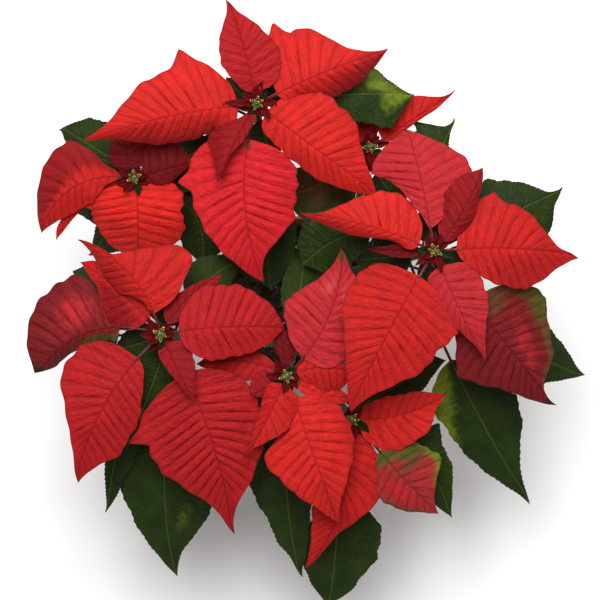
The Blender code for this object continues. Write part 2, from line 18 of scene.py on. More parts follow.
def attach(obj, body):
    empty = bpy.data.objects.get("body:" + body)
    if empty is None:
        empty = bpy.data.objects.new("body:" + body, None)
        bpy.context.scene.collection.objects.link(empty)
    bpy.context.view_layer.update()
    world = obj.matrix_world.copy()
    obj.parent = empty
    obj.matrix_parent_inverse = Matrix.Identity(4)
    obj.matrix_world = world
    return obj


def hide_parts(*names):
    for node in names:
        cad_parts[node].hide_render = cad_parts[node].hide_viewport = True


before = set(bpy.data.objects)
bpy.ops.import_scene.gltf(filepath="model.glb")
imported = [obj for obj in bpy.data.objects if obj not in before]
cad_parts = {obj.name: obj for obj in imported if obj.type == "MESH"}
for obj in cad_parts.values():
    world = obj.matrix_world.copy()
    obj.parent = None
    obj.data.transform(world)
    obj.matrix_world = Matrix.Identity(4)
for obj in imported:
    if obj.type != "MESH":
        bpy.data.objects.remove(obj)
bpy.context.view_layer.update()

MM = 0.001

# %% [markdown]
# ## Camera, floor and light
#
# The photograph looks straight down, so the stems and the pot are hidden and the bracts fill the picture.
# A long lens high above the plant keeps the heads from leaning outwards. The shadow on the ground lies
# below and to the right of the plant, so the large soft lamp hangs above its upper left side. A pale room
# fills the shadows, which stay soft and bright as in a studio.

# %% Camera
CAMERA_HEIGHT = 2.08
BRACT_LEVEL = 0.33
HALF_VIEW = 0.24
SENSOR = 36.0

camera = bpy.data.objects.new("camera", bpy.data.cameras.new("camera"))
bpy.context.scene.collection.objects.link(camera)
camera.location = (0.0, 0.0, CAMERA_HEIGHT)
camera.data.sensor_width = SENSOR
camera.data.lens = SENSOR / 2 * (CAMERA_HEIGHT - BRACT_LEVEL) / HALF_VIEW
bpy.context.scene.camera = camera
bpy.context.scene.view_settings.view_transform = "Standard"
print("lens, mm:", round(camera.data.lens, 1))

# %% Floor, lamps and room light
PLANT_MIDDLE = Vector((0, 0, 0.25))
FLOOR_SIZE = 12.0


def new_material(name):
    """A material, its node tree and its Principled BSDF."""
    made = bpy.data.materials.new(name)
    made.use_nodes = True
    return made, made.node_tree, made.node_tree.nodes["Principled BSDF"]


def soft_lamp(name, place, size, power):
    """A square area lamp that faces the middle of the plant."""
    lamp = bpy.data.objects.new(name, bpy.data.lights.new(name, "AREA"))
    bpy.context.scene.collection.objects.link(lamp)
    lamp.data.shape = "SQUARE"
    lamp.data.size = size
    lamp.data.energy = power
    lamp.location = place
    lamp.rotation_euler = (PLANT_MIDDLE - Vector(place)).to_track_quat("-Z", "Y").to_euler()


bpy.ops.mesh.primitive_plane_add(size=FLOOR_SIZE, location=(0, 0, 0))
floor = bpy.context.object
floor.name = "floor"
floor_finish, _, floor_shader = new_material("pale_floor")
floor_shader.inputs["Base Color"].default_value = (0.92, 0.92, 0.93, 1.0)
floor_shader.inputs["Roughness"].default_value = 0.95
floor.data.materials.append(floor_finish)

soft_lamp("key_lamp", (-0.18, 1.1, 3.9), 1.7, 166.0)
soft_lamp("low_lamp", (0.4, 2.4, 2.0), 1.0, 22.0)

world = bpy.data.worlds.new("pale_room")
world.use_nodes = True
world.node_tree.nodes["Background"].inputs["Color"].default_value = (1.0, 0.985, 0.95, 1.0)
world.node_tree.nodes["Background"].inputs["Strength"].default_value = 0.30
bpy.context.scene.world = world

# %% [markdown]
# ## What every leaf and bract shares
#
# A poinsettia's bracts are leaves that have turned red, so one surface serves both. Side veins leave the
# midrib and sweep forward to the edge, the skin between them swells up like a quilt, and a fine net of
# veins fills each swelling. The mesh carries its values at each point, such as how far along the row of
# side veins it lies, how far across the blade, and the blade's colour, which is partly its own and partly
# painted light. The finishes read these, so a vein in the colour always lies in the groove that the mesh has
# for it.

# %% Helpers for shader nodes
def add_node(tree, kind, **values):
    """A shader node, with its settings and the values of its sockets. A socket's name has _ for a space."""
    made = tree.nodes.new(kind)
    for key, value in values.items():
        if hasattr(made, key):
            setattr(made, key, value)
        else:
            made.inputs[key.replace("_", " ")].default_value = value
    return made


def fed_node(tree, kind, places, **values):
    """The outputs of a node that reads its places from a socket."""
    made = add_node(tree, kind, **values)
    tree.links.new(places, made.inputs["Vector"])
    return made.outputs


def math_node(tree, operation, first, second=None):
    """The output of one Math node whose inputs are sockets or numbers."""
    made = tree.nodes.new("ShaderNodeMath")
    made.operation = operation
    for socket, value in zip(made.inputs, (first, second)):
        if isinstance(value, bpy.types.NodeSocket):
            tree.links.new(value, socket)
        elif value is not None:
            socket.default_value = value
    return made.outputs[0]


def ramp(tree, value, low, high, start=0.0, end=1.0, smooth=True):
    """The value of a socket, moved from low..high to start..end and clamped."""
    made = tree.nodes.new("ShaderNodeMapRange")
    made.interpolation_type = "SMOOTHSTEP" if smooth else "LINEAR"
    tree.links.new(value, made.inputs["Value"])
    for name, number in (("From Min", low), ("From Max", high), ("To Min", start), ("To Max", end)):
        made.inputs[name].default_value = number
    return made.outputs["Result"]


def mix_colours(tree, share, first, second, kind="MIX"):
    """The output of a colour Mix node; each input is a socket or a plain value."""
    made = tree.nodes.new("ShaderNodeMix")
    made.data_type = "RGBA"
    made.blend_type = kind
    for name, value in (("Factor", share), ("A", first), ("B", second)):
        socket = [s for s in made.inputs if s.name == name and s.enabled][0]
        if isinstance(value, bpy.types.NodeSocket):
            tree.links.new(value, socket)
        elif name == "Factor":
            socket.default_value = value
        else:
            socket.default_value = (*value, 1.0)
    return [s for s in made.outputs if s.enabled][0]


def multiplied(tree, colour, by):
    """A colour times another one, which is a socket or a plain value."""
    return mix_colours(tree, 1.0, colour, by, "MULTIPLY")


def grey(tree, value):
    """A grey whose three channels read one socket."""
    made = tree.nodes.new("ShaderNodeCombineColor")
    for socket in made.inputs:
        tree.links.new(value, socket)
    return made.outputs["Color"]


def dress(tree, shader, colour, rough, height, strength, distance):
    """Gives a shader its colour, its roughness, and a bump of that strength and distance in metres."""
    tree.links.new(colour, shader.inputs["Base Color"])
    tree.links.new(rough, shader.inputs["Roughness"])
    relief = add_node(tree, "ShaderNodeBump", Strength=strength, Distance=distance)
    tree.links.new(height, relief.inputs["Height"])
    tree.links.new(relief.outputs["Normal"], shader.inputs["Normal"])


# %% [markdown]
# The veins are an effect that the bracts and the leaves share, so they are a node group. Its inputs are
# the places that the mesh carries; its outputs are masks for the veins, the net and the folds, and a height.
# The finishes use the swellings and the folds to paint shade into the grooves and light onto the crests.

# %% The group of veins
NET_SCALE = 260.0
FINE_SCALE = 900.0
VEIN_SWAY = 0.09
VEIN_DEPTH = 0.55
FOLDS_PER_VEIN = 3.4
FOLDS_PER_MM = 0.16
FOLD_HEIGHT = 1.3


def vein_group():
    group = bpy.data.node_groups.new("leaf_veins", "ShaderNodeTree")
    for name, kind, way in (
        ("Vein Place", "NodeSocketFloat", "INPUT"),
        ("Across mm", "NodeSocketFloat", "INPUT"),
        ("Surface", "NodeSocketVector", "INPUT"),
        ("Vein Width", "NodeSocketFloat", "INPUT"),
        ("Veins", "NodeSocketFloat", "OUTPUT"),
        ("Swelling", "NodeSocketFloat", "OUTPUT"),
        ("Net", "NodeSocketFloat", "OUTPUT"),
        ("Crinkle", "NodeSocketFloat", "OUTPUT"),
        ("Height", "NodeSocketFloat", "OUTPUT"),
    ):
        group.interface.new_socket(name, in_out=way, socket_type=kind)
    enter = group.nodes.new("NodeGroupInput").outputs
    leave = group.nodes.new("NodeGroupOutput").inputs
    wander = fed_node(group, "ShaderNodeTexNoise", enter["Surface"], Scale=40.0, Detail=2.0)["Fac"]
    sway = math_node(group, "MULTIPLY", math_node(group, "SUBTRACT", wander, 0.5), VEIN_SWAY)
    place = math_node(group, "ADD", enter["Vein Place"], sway)
    nearness = math_node(group, "PINGPONG", place, 0.5)
    near_rib = math_node(group, "ABSOLUTE", enter["Across mm"])
    side = ramp(group, nearness, 0.0, 1.0, 1.0, 0.0)
    group.links.new(enter["Vein Width"], side.node.inputs["From Max"])
    fade = ramp(group, near_rib, 2.0, 46.0, 1.0, 0.35, smooth=False)
    rib = ramp(group, near_rib, 0.2, 0.85, 1.0, 0.0)
    veins = math_node(group, "MAXIMUM", math_node(group, "MULTIPLY", side, fade), rib)
    cells = {"feature": "DISTANCE_TO_EDGE"}
    net = fed_node(group, "ShaderNodeTexVoronoi", enter["Surface"], Scale=NET_SCALE, **cells)["Distance"]
    fine = fed_node(group, "ShaderNodeTexVoronoi", enter["Surface"], Scale=FINE_SCALE, **cells)["Distance"]
    along_veins = group.nodes.new("ShaderNodeCombineXYZ")
    group.links.new(math_node(group, "MULTIPLY", place, FOLDS_PER_VEIN), along_veins.inputs["X"])
    group.links.new(math_node(group, "MULTIPLY", enter["Across mm"], FOLDS_PER_MM), along_veins.inputs["Y"])
    folds = fed_node(
        group, "ShaderNodeTexNoise", along_veins.outputs["Vector"], Scale=1.0, Detail=3.0, Roughness=0.55
    )["Fac"]
    crinkle = ramp(group, folds, 0.3, 0.7)
    cushion = ramp(group, net, 0.0, 0.5, 0.0, 0.45)
    cushion = math_node(group, "ADD", ramp(group, fine, 0.0, 0.3, 0.0, 0.12), cushion)
    height = math_node(group, "SUBTRACT", cushion, math_node(group, "MULTIPLY", veins, VEIN_DEPTH))
    height = math_node(group, "ADD", height, math_node(group, "MULTIPLY", crinkle, FOLD_HEIGHT))
    group.links.new(veins, leave["Veins"])
    group.links.new(ramp(group, nearness, 0.0, 0.3), leave["Swelling"])
    group.links.new(ramp(group, net, 0.0, 0.16, 1.0, 0.0), leave["Net"])
    group.links.new(crinkle, leave["Crinkle"])
    group.links.new(height, leave["Height"])
    return group


VEIN_GROUP = vein_group()
print("vein group has", len(VEIN_GROUP.nodes), "nodes")

# %% [markdown]
# ## The finish of a bract or a leaf
#
# A red bract is matt and velvety, and its thin veins are darker. Painted shade darkens the grooves along
# the veins and the folds of its skin, and painted light brightens the crests between the folds. Each
# bract's colour comes from the mesh. Some of it is the bract's own: some bracts are still green at an edge,
# others brown at a tip. Some of it is painted light: scarlet on the bracts on top, which face the lamp,
# crimson on those below, painted shade on halves that turn away from the lamp, and a pale pink painted
# sheen. A second colour for the stains and the painted shade has an edge that a noise breaks up. A green
# leaf works the same way, but its veins are paler than its skin.

# %% One material for blades, with its values for bracts and for leaves
# The tone of the painted shade in the grooves along the veins.
GROOVE_SHADE_TONE = (0.55, 0.35, 0.45)
MARGIN_TONE = (0.40, 0.5, 0.6)
BLADE_SHEEN = 0.12
BLADE_RELIEF = 0.0009


def attribute(tree, name):
    """The value that a mesh carries under that name."""
    return add_node(tree, "ShaderNodeAttribute", attribute_name=name).outputs["Fac"]


def blade_material(
    name, vein_colour, vein_blend, vein_strength, net_strength, vein_width, mottle, roughness, bump, groove_shade_depth
):
    made, tree, shader = new_material(name)
    tint = add_node(tree, "ShaderNodeVertexColor", layer_name="tint").outputs["Color"]
    stain_and_painted_light = add_node(tree, "ShaderNodeVertexColor", layer_name="stain_and_painted_light").outputs
    surface = add_node(tree, "ShaderNodeUVMap", uv_map="surface").outputs["UV"]
    veins = tree.nodes.new("ShaderNodeGroup")
    veins.node_tree = VEIN_GROUP
    veins.inputs["Vein Width"].default_value = vein_width
    tree.links.new(attribute(tree, "vein_place"), veins.inputs["Vein Place"])
    tree.links.new(attribute(tree, "across_mm"), veins.inputs["Across mm"])
    tree.links.new(surface, veins.inputs["Surface"])
    noise = fed_node(tree, "ShaderNodeTexNoise", surface, Scale=55.0, Detail=4.0)["Fac"]
    speckle = fed_node(tree, "ShaderNodeTexNoise", surface, Scale=210.0, Detail=5.0)["Fac"]
    shade = ramp(tree, noise, 0.3, 0.7, 1.0 - mottle, 1.0 + mottle)
    colour = multiplied(tree, tint, grey(tree, shade))
    ragged = math_node(tree, "MULTIPLY", math_node(tree, "ADD", noise, speckle), 0.5)
    patch = ramp(tree, math_node(tree, "ADD", stain_and_painted_light["Alpha"], ragged), 0.72, 1.22)
    colour = mix_colours(tree, patch, colour, stain_and_painted_light["Color"])
    # Painted shade: the colour is darkened in the grooves along the veins.
    painted_groove_shade = ramp(tree, veins.outputs["Swelling"], 0.0, 1.0, groove_shade_depth, 0.0, smooth=False)
    colour = mix_colours(tree, painted_groove_shade, colour, multiplied(tree, colour, GROOVE_SHADE_TONE))
    # Painted light and shade: the crests of the crinkled skin are lighter and its folds darker.
    painted_fold_light = ramp(tree, veins.outputs["Crinkle"], 0.1, 0.9, 0.91, 1.07, smooth=False)
    colour = multiplied(tree, colour, grey(tree, painted_fold_light))
    margin = ramp(tree, attribute(tree, "edge"), 0.95, 1.0, 0.0, 0.45)
    colour = mix_colours(tree, margin, colour, multiplied(tree, colour, MARGIN_TONE))
    vein_tone = mix_colours(tree, 1.0, colour, vein_colour, vein_blend)
    for mask, strength in (("Net", net_strength), ("Veins", vein_strength)):
        share = math_node(tree, "MULTIPLY", veins.outputs[mask], strength)
        colour = mix_colours(tree, share, colour, vein_tone)
    rough = ramp(tree, noise, 0.3, 0.7, roughness - 0.06, roughness + 0.06)
    dress(tree, shader, colour, rough, veins.outputs["Height"], bump, BLADE_RELIEF)
    shader.inputs["Specular IOR Level"].default_value = BLADE_SHEEN
    return made


BRACT_FINISH = blade_material(
    "bract_velvet", vein_colour=(0.50, 0.32, 0.45), vein_blend="MULTIPLY", vein_strength=0.55,
    net_strength=0.08, vein_width=0.05, mottle=0.09, roughness=0.66, bump=0.55, groove_shade_depth=0.32,
)
LEAF_FINISH = blade_material(
    "leaf_skin", vein_colour=(0.045, 0.060, 0.010), vein_blend="ADD", vein_strength=0.9,
    net_strength=0.06, vein_width=0.035, mottle=0.25, roughness=0.5, bump=0.6, groove_shade_depth=0.30,
)
print("blade finishes:", BRACT_FINISH.name, LEAF_FINISH.name)

# %% [markdown]
# ## The shape of one blade
#
# A blade is drawn as a leaf is measured in a botany book: its tip, its petiole, and its half widths at six
# stations along the midrib. A smooth curve runs through them, and a lobe breaks it with a sharp corner.
# The midrib arches up and bows to one side, each half tilts, and the edge waves. Lengths are in
# millimetres and tilts in degrees. A lobe is its side, its place along the blade and its reach. The
# drop is how far below its head's centre a bract sets in.
#
# A flat grid is the right start, because its rows can be laid along the side veins. Each row leaves the
# midrib at one vein place and runs forward to the edge, so the quilted swellings between the veins need
# only a few rows each and stay crisp.

# %% What describes a blade
Blade = namedtuple(
    "Blade",
    "tip petiole left right tilt arch bow drop tint lobes wave",
    defaults=(0, "green", (), 1.5),
)
Leaf = namedtuple("Leaf", "along blade")
StainAndPaintedLight = namedtuple("StainAndPaintedLight", "colour place across reach spread strength", defaults=(1.0,))

STATIONS = (0.10, 0.24, 0.38, 0.53, 0.69, 0.85)
OVATE = (0.62, 0.93, 1.0, 0.88, 0.62, 0.30)
LOBE_ROOM = 0.035


def steady_slopes(x, y):
    """Slopes that let a cubic pass through the points without overshooting."""
    rise = np.diff(y) / np.diff(x)
    slopes = np.zeros(len(x))
    slopes[0], slopes[-1] = rise[0], rise[-1]
    for i in range(1, len(x) - 1):
        if rise[i - 1] * rise[i] > 0:
            slopes[i] = 2 * rise[i - 1] * rise[i] / (rise[i - 1] + rise[i])
    return slopes


def edge_run(x, y, at):
    """Heights at the places along one smooth run through the points."""
    slopes = steady_slopes(x, y)
    k = np.clip(np.searchsorted(x, at) - 1, 0, len(x) - 2)
    step = x[k + 1] - x[k]
    s = (at - x[k]) / step
    return (
        (2 * s ** 3 - 3 * s ** 2 + 1) * y[k]
        + (s ** 3 - 2 * s ** 2 + s) * step * slopes[k]
        + (3 * s ** 2 - 2 * s ** 3) * y[k + 1]
        + (s ** 3 - s ** 2) * step * slopes[k + 1]
    )


def half_width(widths, lobes, u):
    """Half widths at the places u, from 0 at the blade's base to 1 at its tip. The base is round, because
    the curve is drawn over the square root of u, and each lobe is a corner between two smooth runs."""
    if not isinstance(widths, tuple):
        widths = tuple(widths * share for share in OVATE)
    knots = dict(zip(STATIONS, widths))
    for place, reach in lobes:
        for station in STATIONS:
            if abs(station - place) < LOBE_ROOM:
                knots.pop(station, None)
        knots[place] = reach
    places = np.sqrt(np.array([0.0, *sorted(knots), 1.0]))
    heights = np.array([0.0, *(knots[k] for k in sorted(knots)), 0.0])
    root = np.sqrt(np.clip(u, 0.0, 1.0))
    corners = [0, *(int(np.argmin(abs(places - math.sqrt(p)))) for p, _ in sorted(lobes)), len(places) - 1]
    found = np.zeros_like(root)
    for first, last in zip(corners, corners[1:]):
        inside = (root >= places[first]) & (root <= places[last])
        if last > first:
            found[inside] = edge_run(places[first:last + 1], heights[first:last + 1], root[inside])
    return np.maximum(found, 0.0)


def bend(curve, t):
    """Points and directions on a quadratic curve at the places t."""
    start, control, end = (np.array(p, float) for p in curve)
    t = np.asarray(t)[..., None]
    point = start * (1 - t) ** 2 + control * 2 * t * (1 - t) + end * t ** 2
    ahead = (control - start) * (1 - t) + (end - control) * t
    return point, ahead / np.linalg.norm(ahead, axis=-1, keepdims=True)


def midrib(root, tip, blade):
    """Start, control point and end of a blade's midrib."""
    root, tip = np.array(root, float), np.array(tip, float)
    run = tip - root
    sideways = np.array([-run[1], run[0], 0.0])
    sideways /= np.linalg.norm(sideways)
    control = (root + tip) / 2 + np.array([0, 0, 2.0 * blade.arch]) + sideways * 2.0 * blade.bow
    return root, control, tip


def curve_length(curve):
    """Length of a curve, from twelve short straight lines."""
    points, _ = bend(curve, np.linspace(0, 1, 13))
    return float(np.linalg.norm(np.diff(points, axis=0), axis=1).sum())


# %% [markdown]
# The next cell is the heart of the lesson: it turns flat grid places into points in space. The half that
# lies to the right of the midrib, looking from root to tip, has negative places across.

# %% From a flat grid to a blade's surface
PETIOLE_RADIUS = 1.3
VEIN_SWEEP = 0.17
RIGHT_VEINS_LATER = 0.4
RIDGE_HEIGHT = 1.9
FULL_RIDGE_WIDTH = 26.0
RIDGE_FADE = ((0, 0.12, 0.5, 0.85, 1.0), (0.25, 0.8, 1.0, 0.65, 0.25))
RIB_DEPTH = 0.7
RIB_WIDTH = 1.6
TILT_BEGINS = 0.15
WAVE_RATE = 8.5
FULL_WAVE_WIDTH = 20.0
EDGE_RIPPLE = 0.045
TIP_HOOK = 2.6


def blade_points(curve, base, blade, phase, row, across, veins, ridge):
    """Points, places along, places in the row of veins, and mm across, for places on the grid: row runs
    from 0 to 1 and across from -1 to 1."""
    v = np.sign(across) * np.abs(across) ** 1.25
    u = np.clip(row + 4 * VEIN_SWEEP * row * (1 - row) * np.abs(v) ** 1.1, 0.0, 1.0)
    right = v < 0
    edge_place = np.clip(row + 4 * VEIN_SWEEP * row * (1 - row), 0.0, 1.0)
    lobes = {side: [lobe[1:] for lobe in blade.lobes if lobe[0] == side] for side in ("left", "right")}
    edge = np.where(
        right,
        half_width(blade.right, lobes["right"], edge_place),
        half_width(blade.left, lobes["left"], edge_place),
    )
    edge = edge * (1 + EDGE_RIPPLE * np.sin(31 * edge_place + phase) * np.sin(13 * edge_place + 2 * phase))
    least = np.where(u < 0.5, PETIOLE_RADIUS, 0.35)
    half = np.maximum(edge, least * np.minimum(1.0, (1 - u) / 0.02 + 0.3))
    middle, ahead = bend(curve, base + (1 - base) * u)
    side = np.stack([-ahead[..., 1], ahead[..., 0], np.zeros_like(u)], axis=-1)
    side /= np.linalg.norm(side, axis=-1, keepdims=True)
    up = np.cross(ahead, side)
    opening = np.minimum(1.0, u / TILT_BEGINS)
    tilt = np.radians(np.where(right, blade.tilt[1], blade.tilt[0]))
    curl = tilt * opening * (0.5 + 0.5 * np.abs(v))
    ripple = np.sin(WAVE_RATE * u + phase + np.where(right, 2.0, 0.0))
    wave = blade.wave * np.minimum(half / FULL_WAVE_WIDTH, 1.0) * v * v * ripple
    place = row * veins + np.where(right, RIGHT_VEINS_LATER, 0.0)
    swell = np.abs(np.sin(math.pi * place)) ** 0.65 - 0.55
    swell = swell * (1 + 0.35 * np.sin(1.9 * np.floor(place) + 5 * np.abs(v) + phase))
    room = np.minimum(1.0, half / FULL_RIDGE_WIDTH) * np.sin(math.pi * np.clip(row, 0, 1)) ** 0.5
    across_room = np.interp(np.abs(v), *RIDGE_FADE)
    reach = half * np.abs(v)
    groove = RIB_DEPTH * np.exp(-(reach / RIB_WIDTH) ** 2) * np.minimum(1.0, u / 0.08)
    lift = reach * np.sin(curl) + wave + ridge * swell * room * across_room - groove
    hook = TIP_HOOK * np.clip((u - 0.9) / 0.1, 0, 1) ** 2 * math.sin(phase + 0.6)
    offset = side * (np.sign(v) * reach * np.cos(curl) + hook)[..., None] + up * lift[..., None]
    return middle + offset, u, place, v * half


# %% Helpers for meshes
def started(name, add, **sizes):
    """A new primitive, alone in the selection and with that name."""
    bpy.ops.object.select_all(action="DESELECT")
    add(**sizes)
    obj = bpy.context.object
    obj.name = name
    return obj


def coordinates(mesh):
    """The places of a mesh's vertices, a row of x, y and z for each."""
    flat = np.zeros(len(mesh.vertices) * 3)
    mesh.vertices.foreach_get("co", flat)
    return flat.reshape(-1, 3)


def move_vertices(mesh, points):
    """Moves a mesh's vertices to places in millimetres."""
    mesh.vertices.foreach_set("co", (points * MM).ravel())
    mesh.update()


def store(mesh, name, values):
    """Stores a value or a colour for each vertex under that name."""
    colours = values.ndim == 2
    layer = mesh.attributes.new(name, "FLOAT_COLOR" if colours else "FLOAT", "POINT")
    layer.data.foreach_set("color" if colours else "value", values.astype(np.float32).ravel())


def edit_faces(obj, wanted):
    """Enters edit mode with only the wanted faces selected."""
    bpy.ops.object.mode_set(mode="EDIT")
    bpy.ops.mesh.select_all(action="DESELECT")
    work = bmesh.from_edit_mesh(obj.data)
    for face in work.faces:
        face.select = wanted(face)
    bmesh.update_edit_mesh(obj.data)


# %% The mesh of one blade
ROW_LENGTH = 1.3
COLUMN_WIDTH = 3.2
TEETH = 26
BLADE_THICKNESS = 0.5


def blade_mesh(name, root, tip, blade, phase, veins, ridge, stains_and_painted_light, teeth=0.0):
    """A thin blade from a grid, with its places and colours stored on the mesh."""
    curve = midrib(root, tip, blade)
    length = curve_length(curve)
    base = blade.petiole / length
    widths = [w for side in (blade.left, blade.right) for w in (side if isinstance(side, tuple) else (side,))]
    rows = int(np.clip(length * (1 - base) / ROW_LENGTH, 16, 100))
    columns = 2 * int(np.clip(max(widths) / COLUMN_WIDTH, 4, 13))
    grid = bpy.ops.mesh.primitive_grid_add
    obj = started(name, grid, x_subdivisions=rows, y_subdivisions=columns, size=2.0)
    flat = coordinates(obj.data)
    row, across = (flat[:, 0] + 1) / 2, flat[:, 1]
    points, u, place, across_mm = blade_points(curve, base, blade, phase, row, across, veins, ridge)
    if teeth:
        outward = points - bend(curve, base + (1 - base) * u)[0]
        bite = teeth * (0.5 + 0.5 * np.sin(2 * math.pi * row * TEETH)) * np.abs(across) ** 8
        size = np.maximum(np.linalg.norm(outward, axis=1), 1.0)
        points -= outward * (bite / size)[:, None]
    move_vertices(obj.data, points)
    along_mm = u * length * (1 - base)
    paint_blade(obj.data, blade, stains_and_painted_light, u, np.clip(across, -1, 1), place, along_mm, across_mm, phase)
    thicken(obj)
    return obj, curve, base


def thicken(obj):
    """Gives a sheet its thickness with a Solidify modifier, and applies it."""
    bpy.context.view_layer.objects.active = obj
    wall = obj.modifiers.new("thickness", "SOLIDIFY")
    wall.thickness = BLADE_THICKNESS * MM
    wall.offset = 0.0
    bpy.ops.object.modifier_apply(modifier=wall.name)


# %% [markdown]
# Colours are named as a grower would name them. Some are painted light: the brightest red is a lighter
# copy of scarlet for a brightly lit bract, many of the darker reds are painted shade on bracts that lie in
# shade, and a pale pink is a painted sheen. A stain is a soft oval patch on the blade: its colour, its
# place along and across, and how far it spreads each way. Some stains are the blade's own colour; others
# are painted shade or painted sheen.

# %% Colours on the mesh
# Partly painted light: the brightest red is a lighter copy of scarlet, and many darker reds are painted shade
# on bracts that lie in shade.
TINTS = {
    # Painted light: a lighter copy of scarlet, for a bract that is brightly lit.
    "lit_scarlet": (0.62, 0.0185, 0.013),
    "scarlet": (0.52, 0.0155, 0.012),
    "red": (0.44, 0.012, 0.010),
    "cherry": (0.45, 0.014, 0.019),
    "coral": (0.56, 0.0145, 0.020),
    "crimson": (0.37, 0.010, 0.012),
    "rose": (0.41, 0.018, 0.023),
    "brick": (0.30, 0.020, 0.020),
    "maroon": (0.24, 0.006, 0.008),
    "wine": (0.13, 0.003, 0.004),
    "burgundy": (0.17, 0.009, 0.011),
    "green": (0.014, 0.029, 0.003),
    "olive": (0.045, 0.045, 0.009),
    "lime": (0.12, 0.17, 0.010),
    "moss": (0.075, 0.080, 0.011),
    "bronze": (0.115, 0.045, 0.016),
    # Painted sheen: a pale pink for the sheen on a bract's skin.
    "sheen_pink": (0.50, 0.10, 0.10),
    "tip_brown": (0.045, 0.016, 0.010),
}
MAP_SHIFT = 0.31


def paint_blade(mesh, blade, stains_and_painted_light, u, across, place, along_mm, across_mm, phase):
    """Stores tint, stains with painted shade and sheen, vein place, distance across and the surface's own
    map.
    """
    count = len(mesh.vertices)
    tint = np.tile((*TINTS[blade.tint], 1.0), (count, 1)).astype(np.float32)
    stain_and_painted_light = np.tile((*TINTS[blade.tint], 0.0), (count, 1)).astype(np.float32)
    for patch in stains_and_painted_light:
        gap = ((u - patch.place) / patch.reach) ** 2 + ((across - patch.across) / patch.spread) ** 2
        mask = patch.strength * np.exp(-gap)
        stronger = mask > stain_and_painted_light[:, 3]
        stain_and_painted_light[stronger, :3] = TINTS[patch.colour]
        stain_and_painted_light[:, 3] = np.maximum(stain_and_painted_light[:, 3], mask)
    store(mesh, "tint", tint)
    store(mesh, "stain_and_painted_light", stain_and_painted_light)
    store(mesh, "vein_place", place)
    store(mesh, "across_mm", across_mm)
    store(mesh, "edge", np.abs(across))
    while mesh.uv_layers:
        mesh.uv_layers.remove(mesh.uv_layers[0])
    surface = mesh.uv_layers.new(name="surface")
    corner = np.zeros(len(mesh.loops), int)
    mesh.loops.foreach_get("vertex_index", corner)
    shift = MAP_SHIFT * phase
    uv = np.stack([along_mm * MM + shift, across_mm * MM + shift], axis=1)[corner]
    surface.data.foreach_set("uv", uv.astype(np.float32).ravel())


# %% [markdown]
# ## Stalks
#
# Petioles, stems and the ribs under the blades are all rods that taper. A ball is a good start for a rod:
# it is already closed at both ends, so its rings only have to be spread along the rod's line.

# %% A rod from a ball
STALK_TINTS = {
    "red_stalk": (0.16, 0.008, 0.010),
    "dark_stalk": (0.07, 0.007, 0.007),
    "green_stalk": (0.035, 0.060, 0.012),
}
RIB_FROM, RIB_MIDDLE, RIB_END = 1.15, 0.75, 0.22
RIB_SHARE = 0.9


def rod(name, centres, radii, sides, tint=None):
    """A closed rod: the ball's rings are moved to the centres, with those radii. It gets one tint all
    over, in the same layer that the blades use."""
    ball_add = bpy.ops.mesh.primitive_uv_sphere_add
    obj = started(name, ball_add, segments=sides, ring_count=len(centres) + 1, radius=1.0)
    round_ball = coordinates(obj.data)
    x, y = round_ball[:, 0], round_ball[:, 1]
    rings = np.arccos(np.clip(round_ball[:, 2], -1, 1)) / math.pi * (len(centres) + 1)
    centres = np.array(centres, float)
    ahead = np.gradient(centres, axis=0)
    ahead /= np.linalg.norm(ahead, axis=1, keepdims=True)
    side = np.cross(ahead, (0.0, 1.0, 0.0))
    side /= np.linalg.norm(side, axis=1, keepdims=True)
    other = np.cross(side, ahead)
    k = np.clip(np.rint(rings).astype(int) - 1, 0, len(centres) - 1)
    turn = np.arctan2(y, x)
    radius = np.array(radii, float)[k] * (np.hypot(x, y) > 1e-4)
    ring = side[k] * np.cos(turn)[:, None] + other[k] * np.sin(turn)[:, None]
    move_vertices(obj.data, centres[k] + ring * radius[:, None])
    if tint:
        store(obj.data, "tint", np.tile((*STALK_TINTS[tint], 1.0), (len(k), 1)))
    return obj


def petiole_rod(name, curve, base, thickness, tint):
    """The petiole, which runs on as the rib under the blade."""
    along_rib = np.linspace(base, base + (1 - base) * RIB_SHARE, 14)
    t = np.concatenate([np.linspace(0, base, 8)[:-1], along_rib])
    centres, ahead = bend(curve, t)
    share = np.clip((t - base) / (1 - base), 0, 1)
    radii = np.interp(share, [0, 0.12, RIB_SHARE], [RIB_FROM, RIB_MIDDLE, RIB_END]) * thickness
    side = np.stack([-ahead[:, 1], ahead[:, 0], np.zeros(len(t))], axis=1)
    up = np.cross(ahead, side / np.linalg.norm(side, axis=1, keepdims=True))
    sink = np.interp(share, [0, 0.08], [0.0, RIB_DEPTH + 0.1]) + radii * np.clip(share / 0.04, 0, 1)
    return rod(name, centres - up * sink[:, None], radii, 7, tint)


# %% [markdown]
# The stalks' finish is smooth and slightly glossy. Fine lengthwise streaks and a few pale pores break its
# colour up. Low on the stem the skin turns to grey-brown bark, so the finish reads the height.

# %% Finish of stalks and stems
BARK_LOW, BARK_HIGH = 0.165, 0.215
BARK_COLOUR = (0.11, 0.075, 0.045)
PORE_COLOUR = (0.16, 0.12, 0.07)
STREAK_TONE = (0.45, 0.45, 0.45)


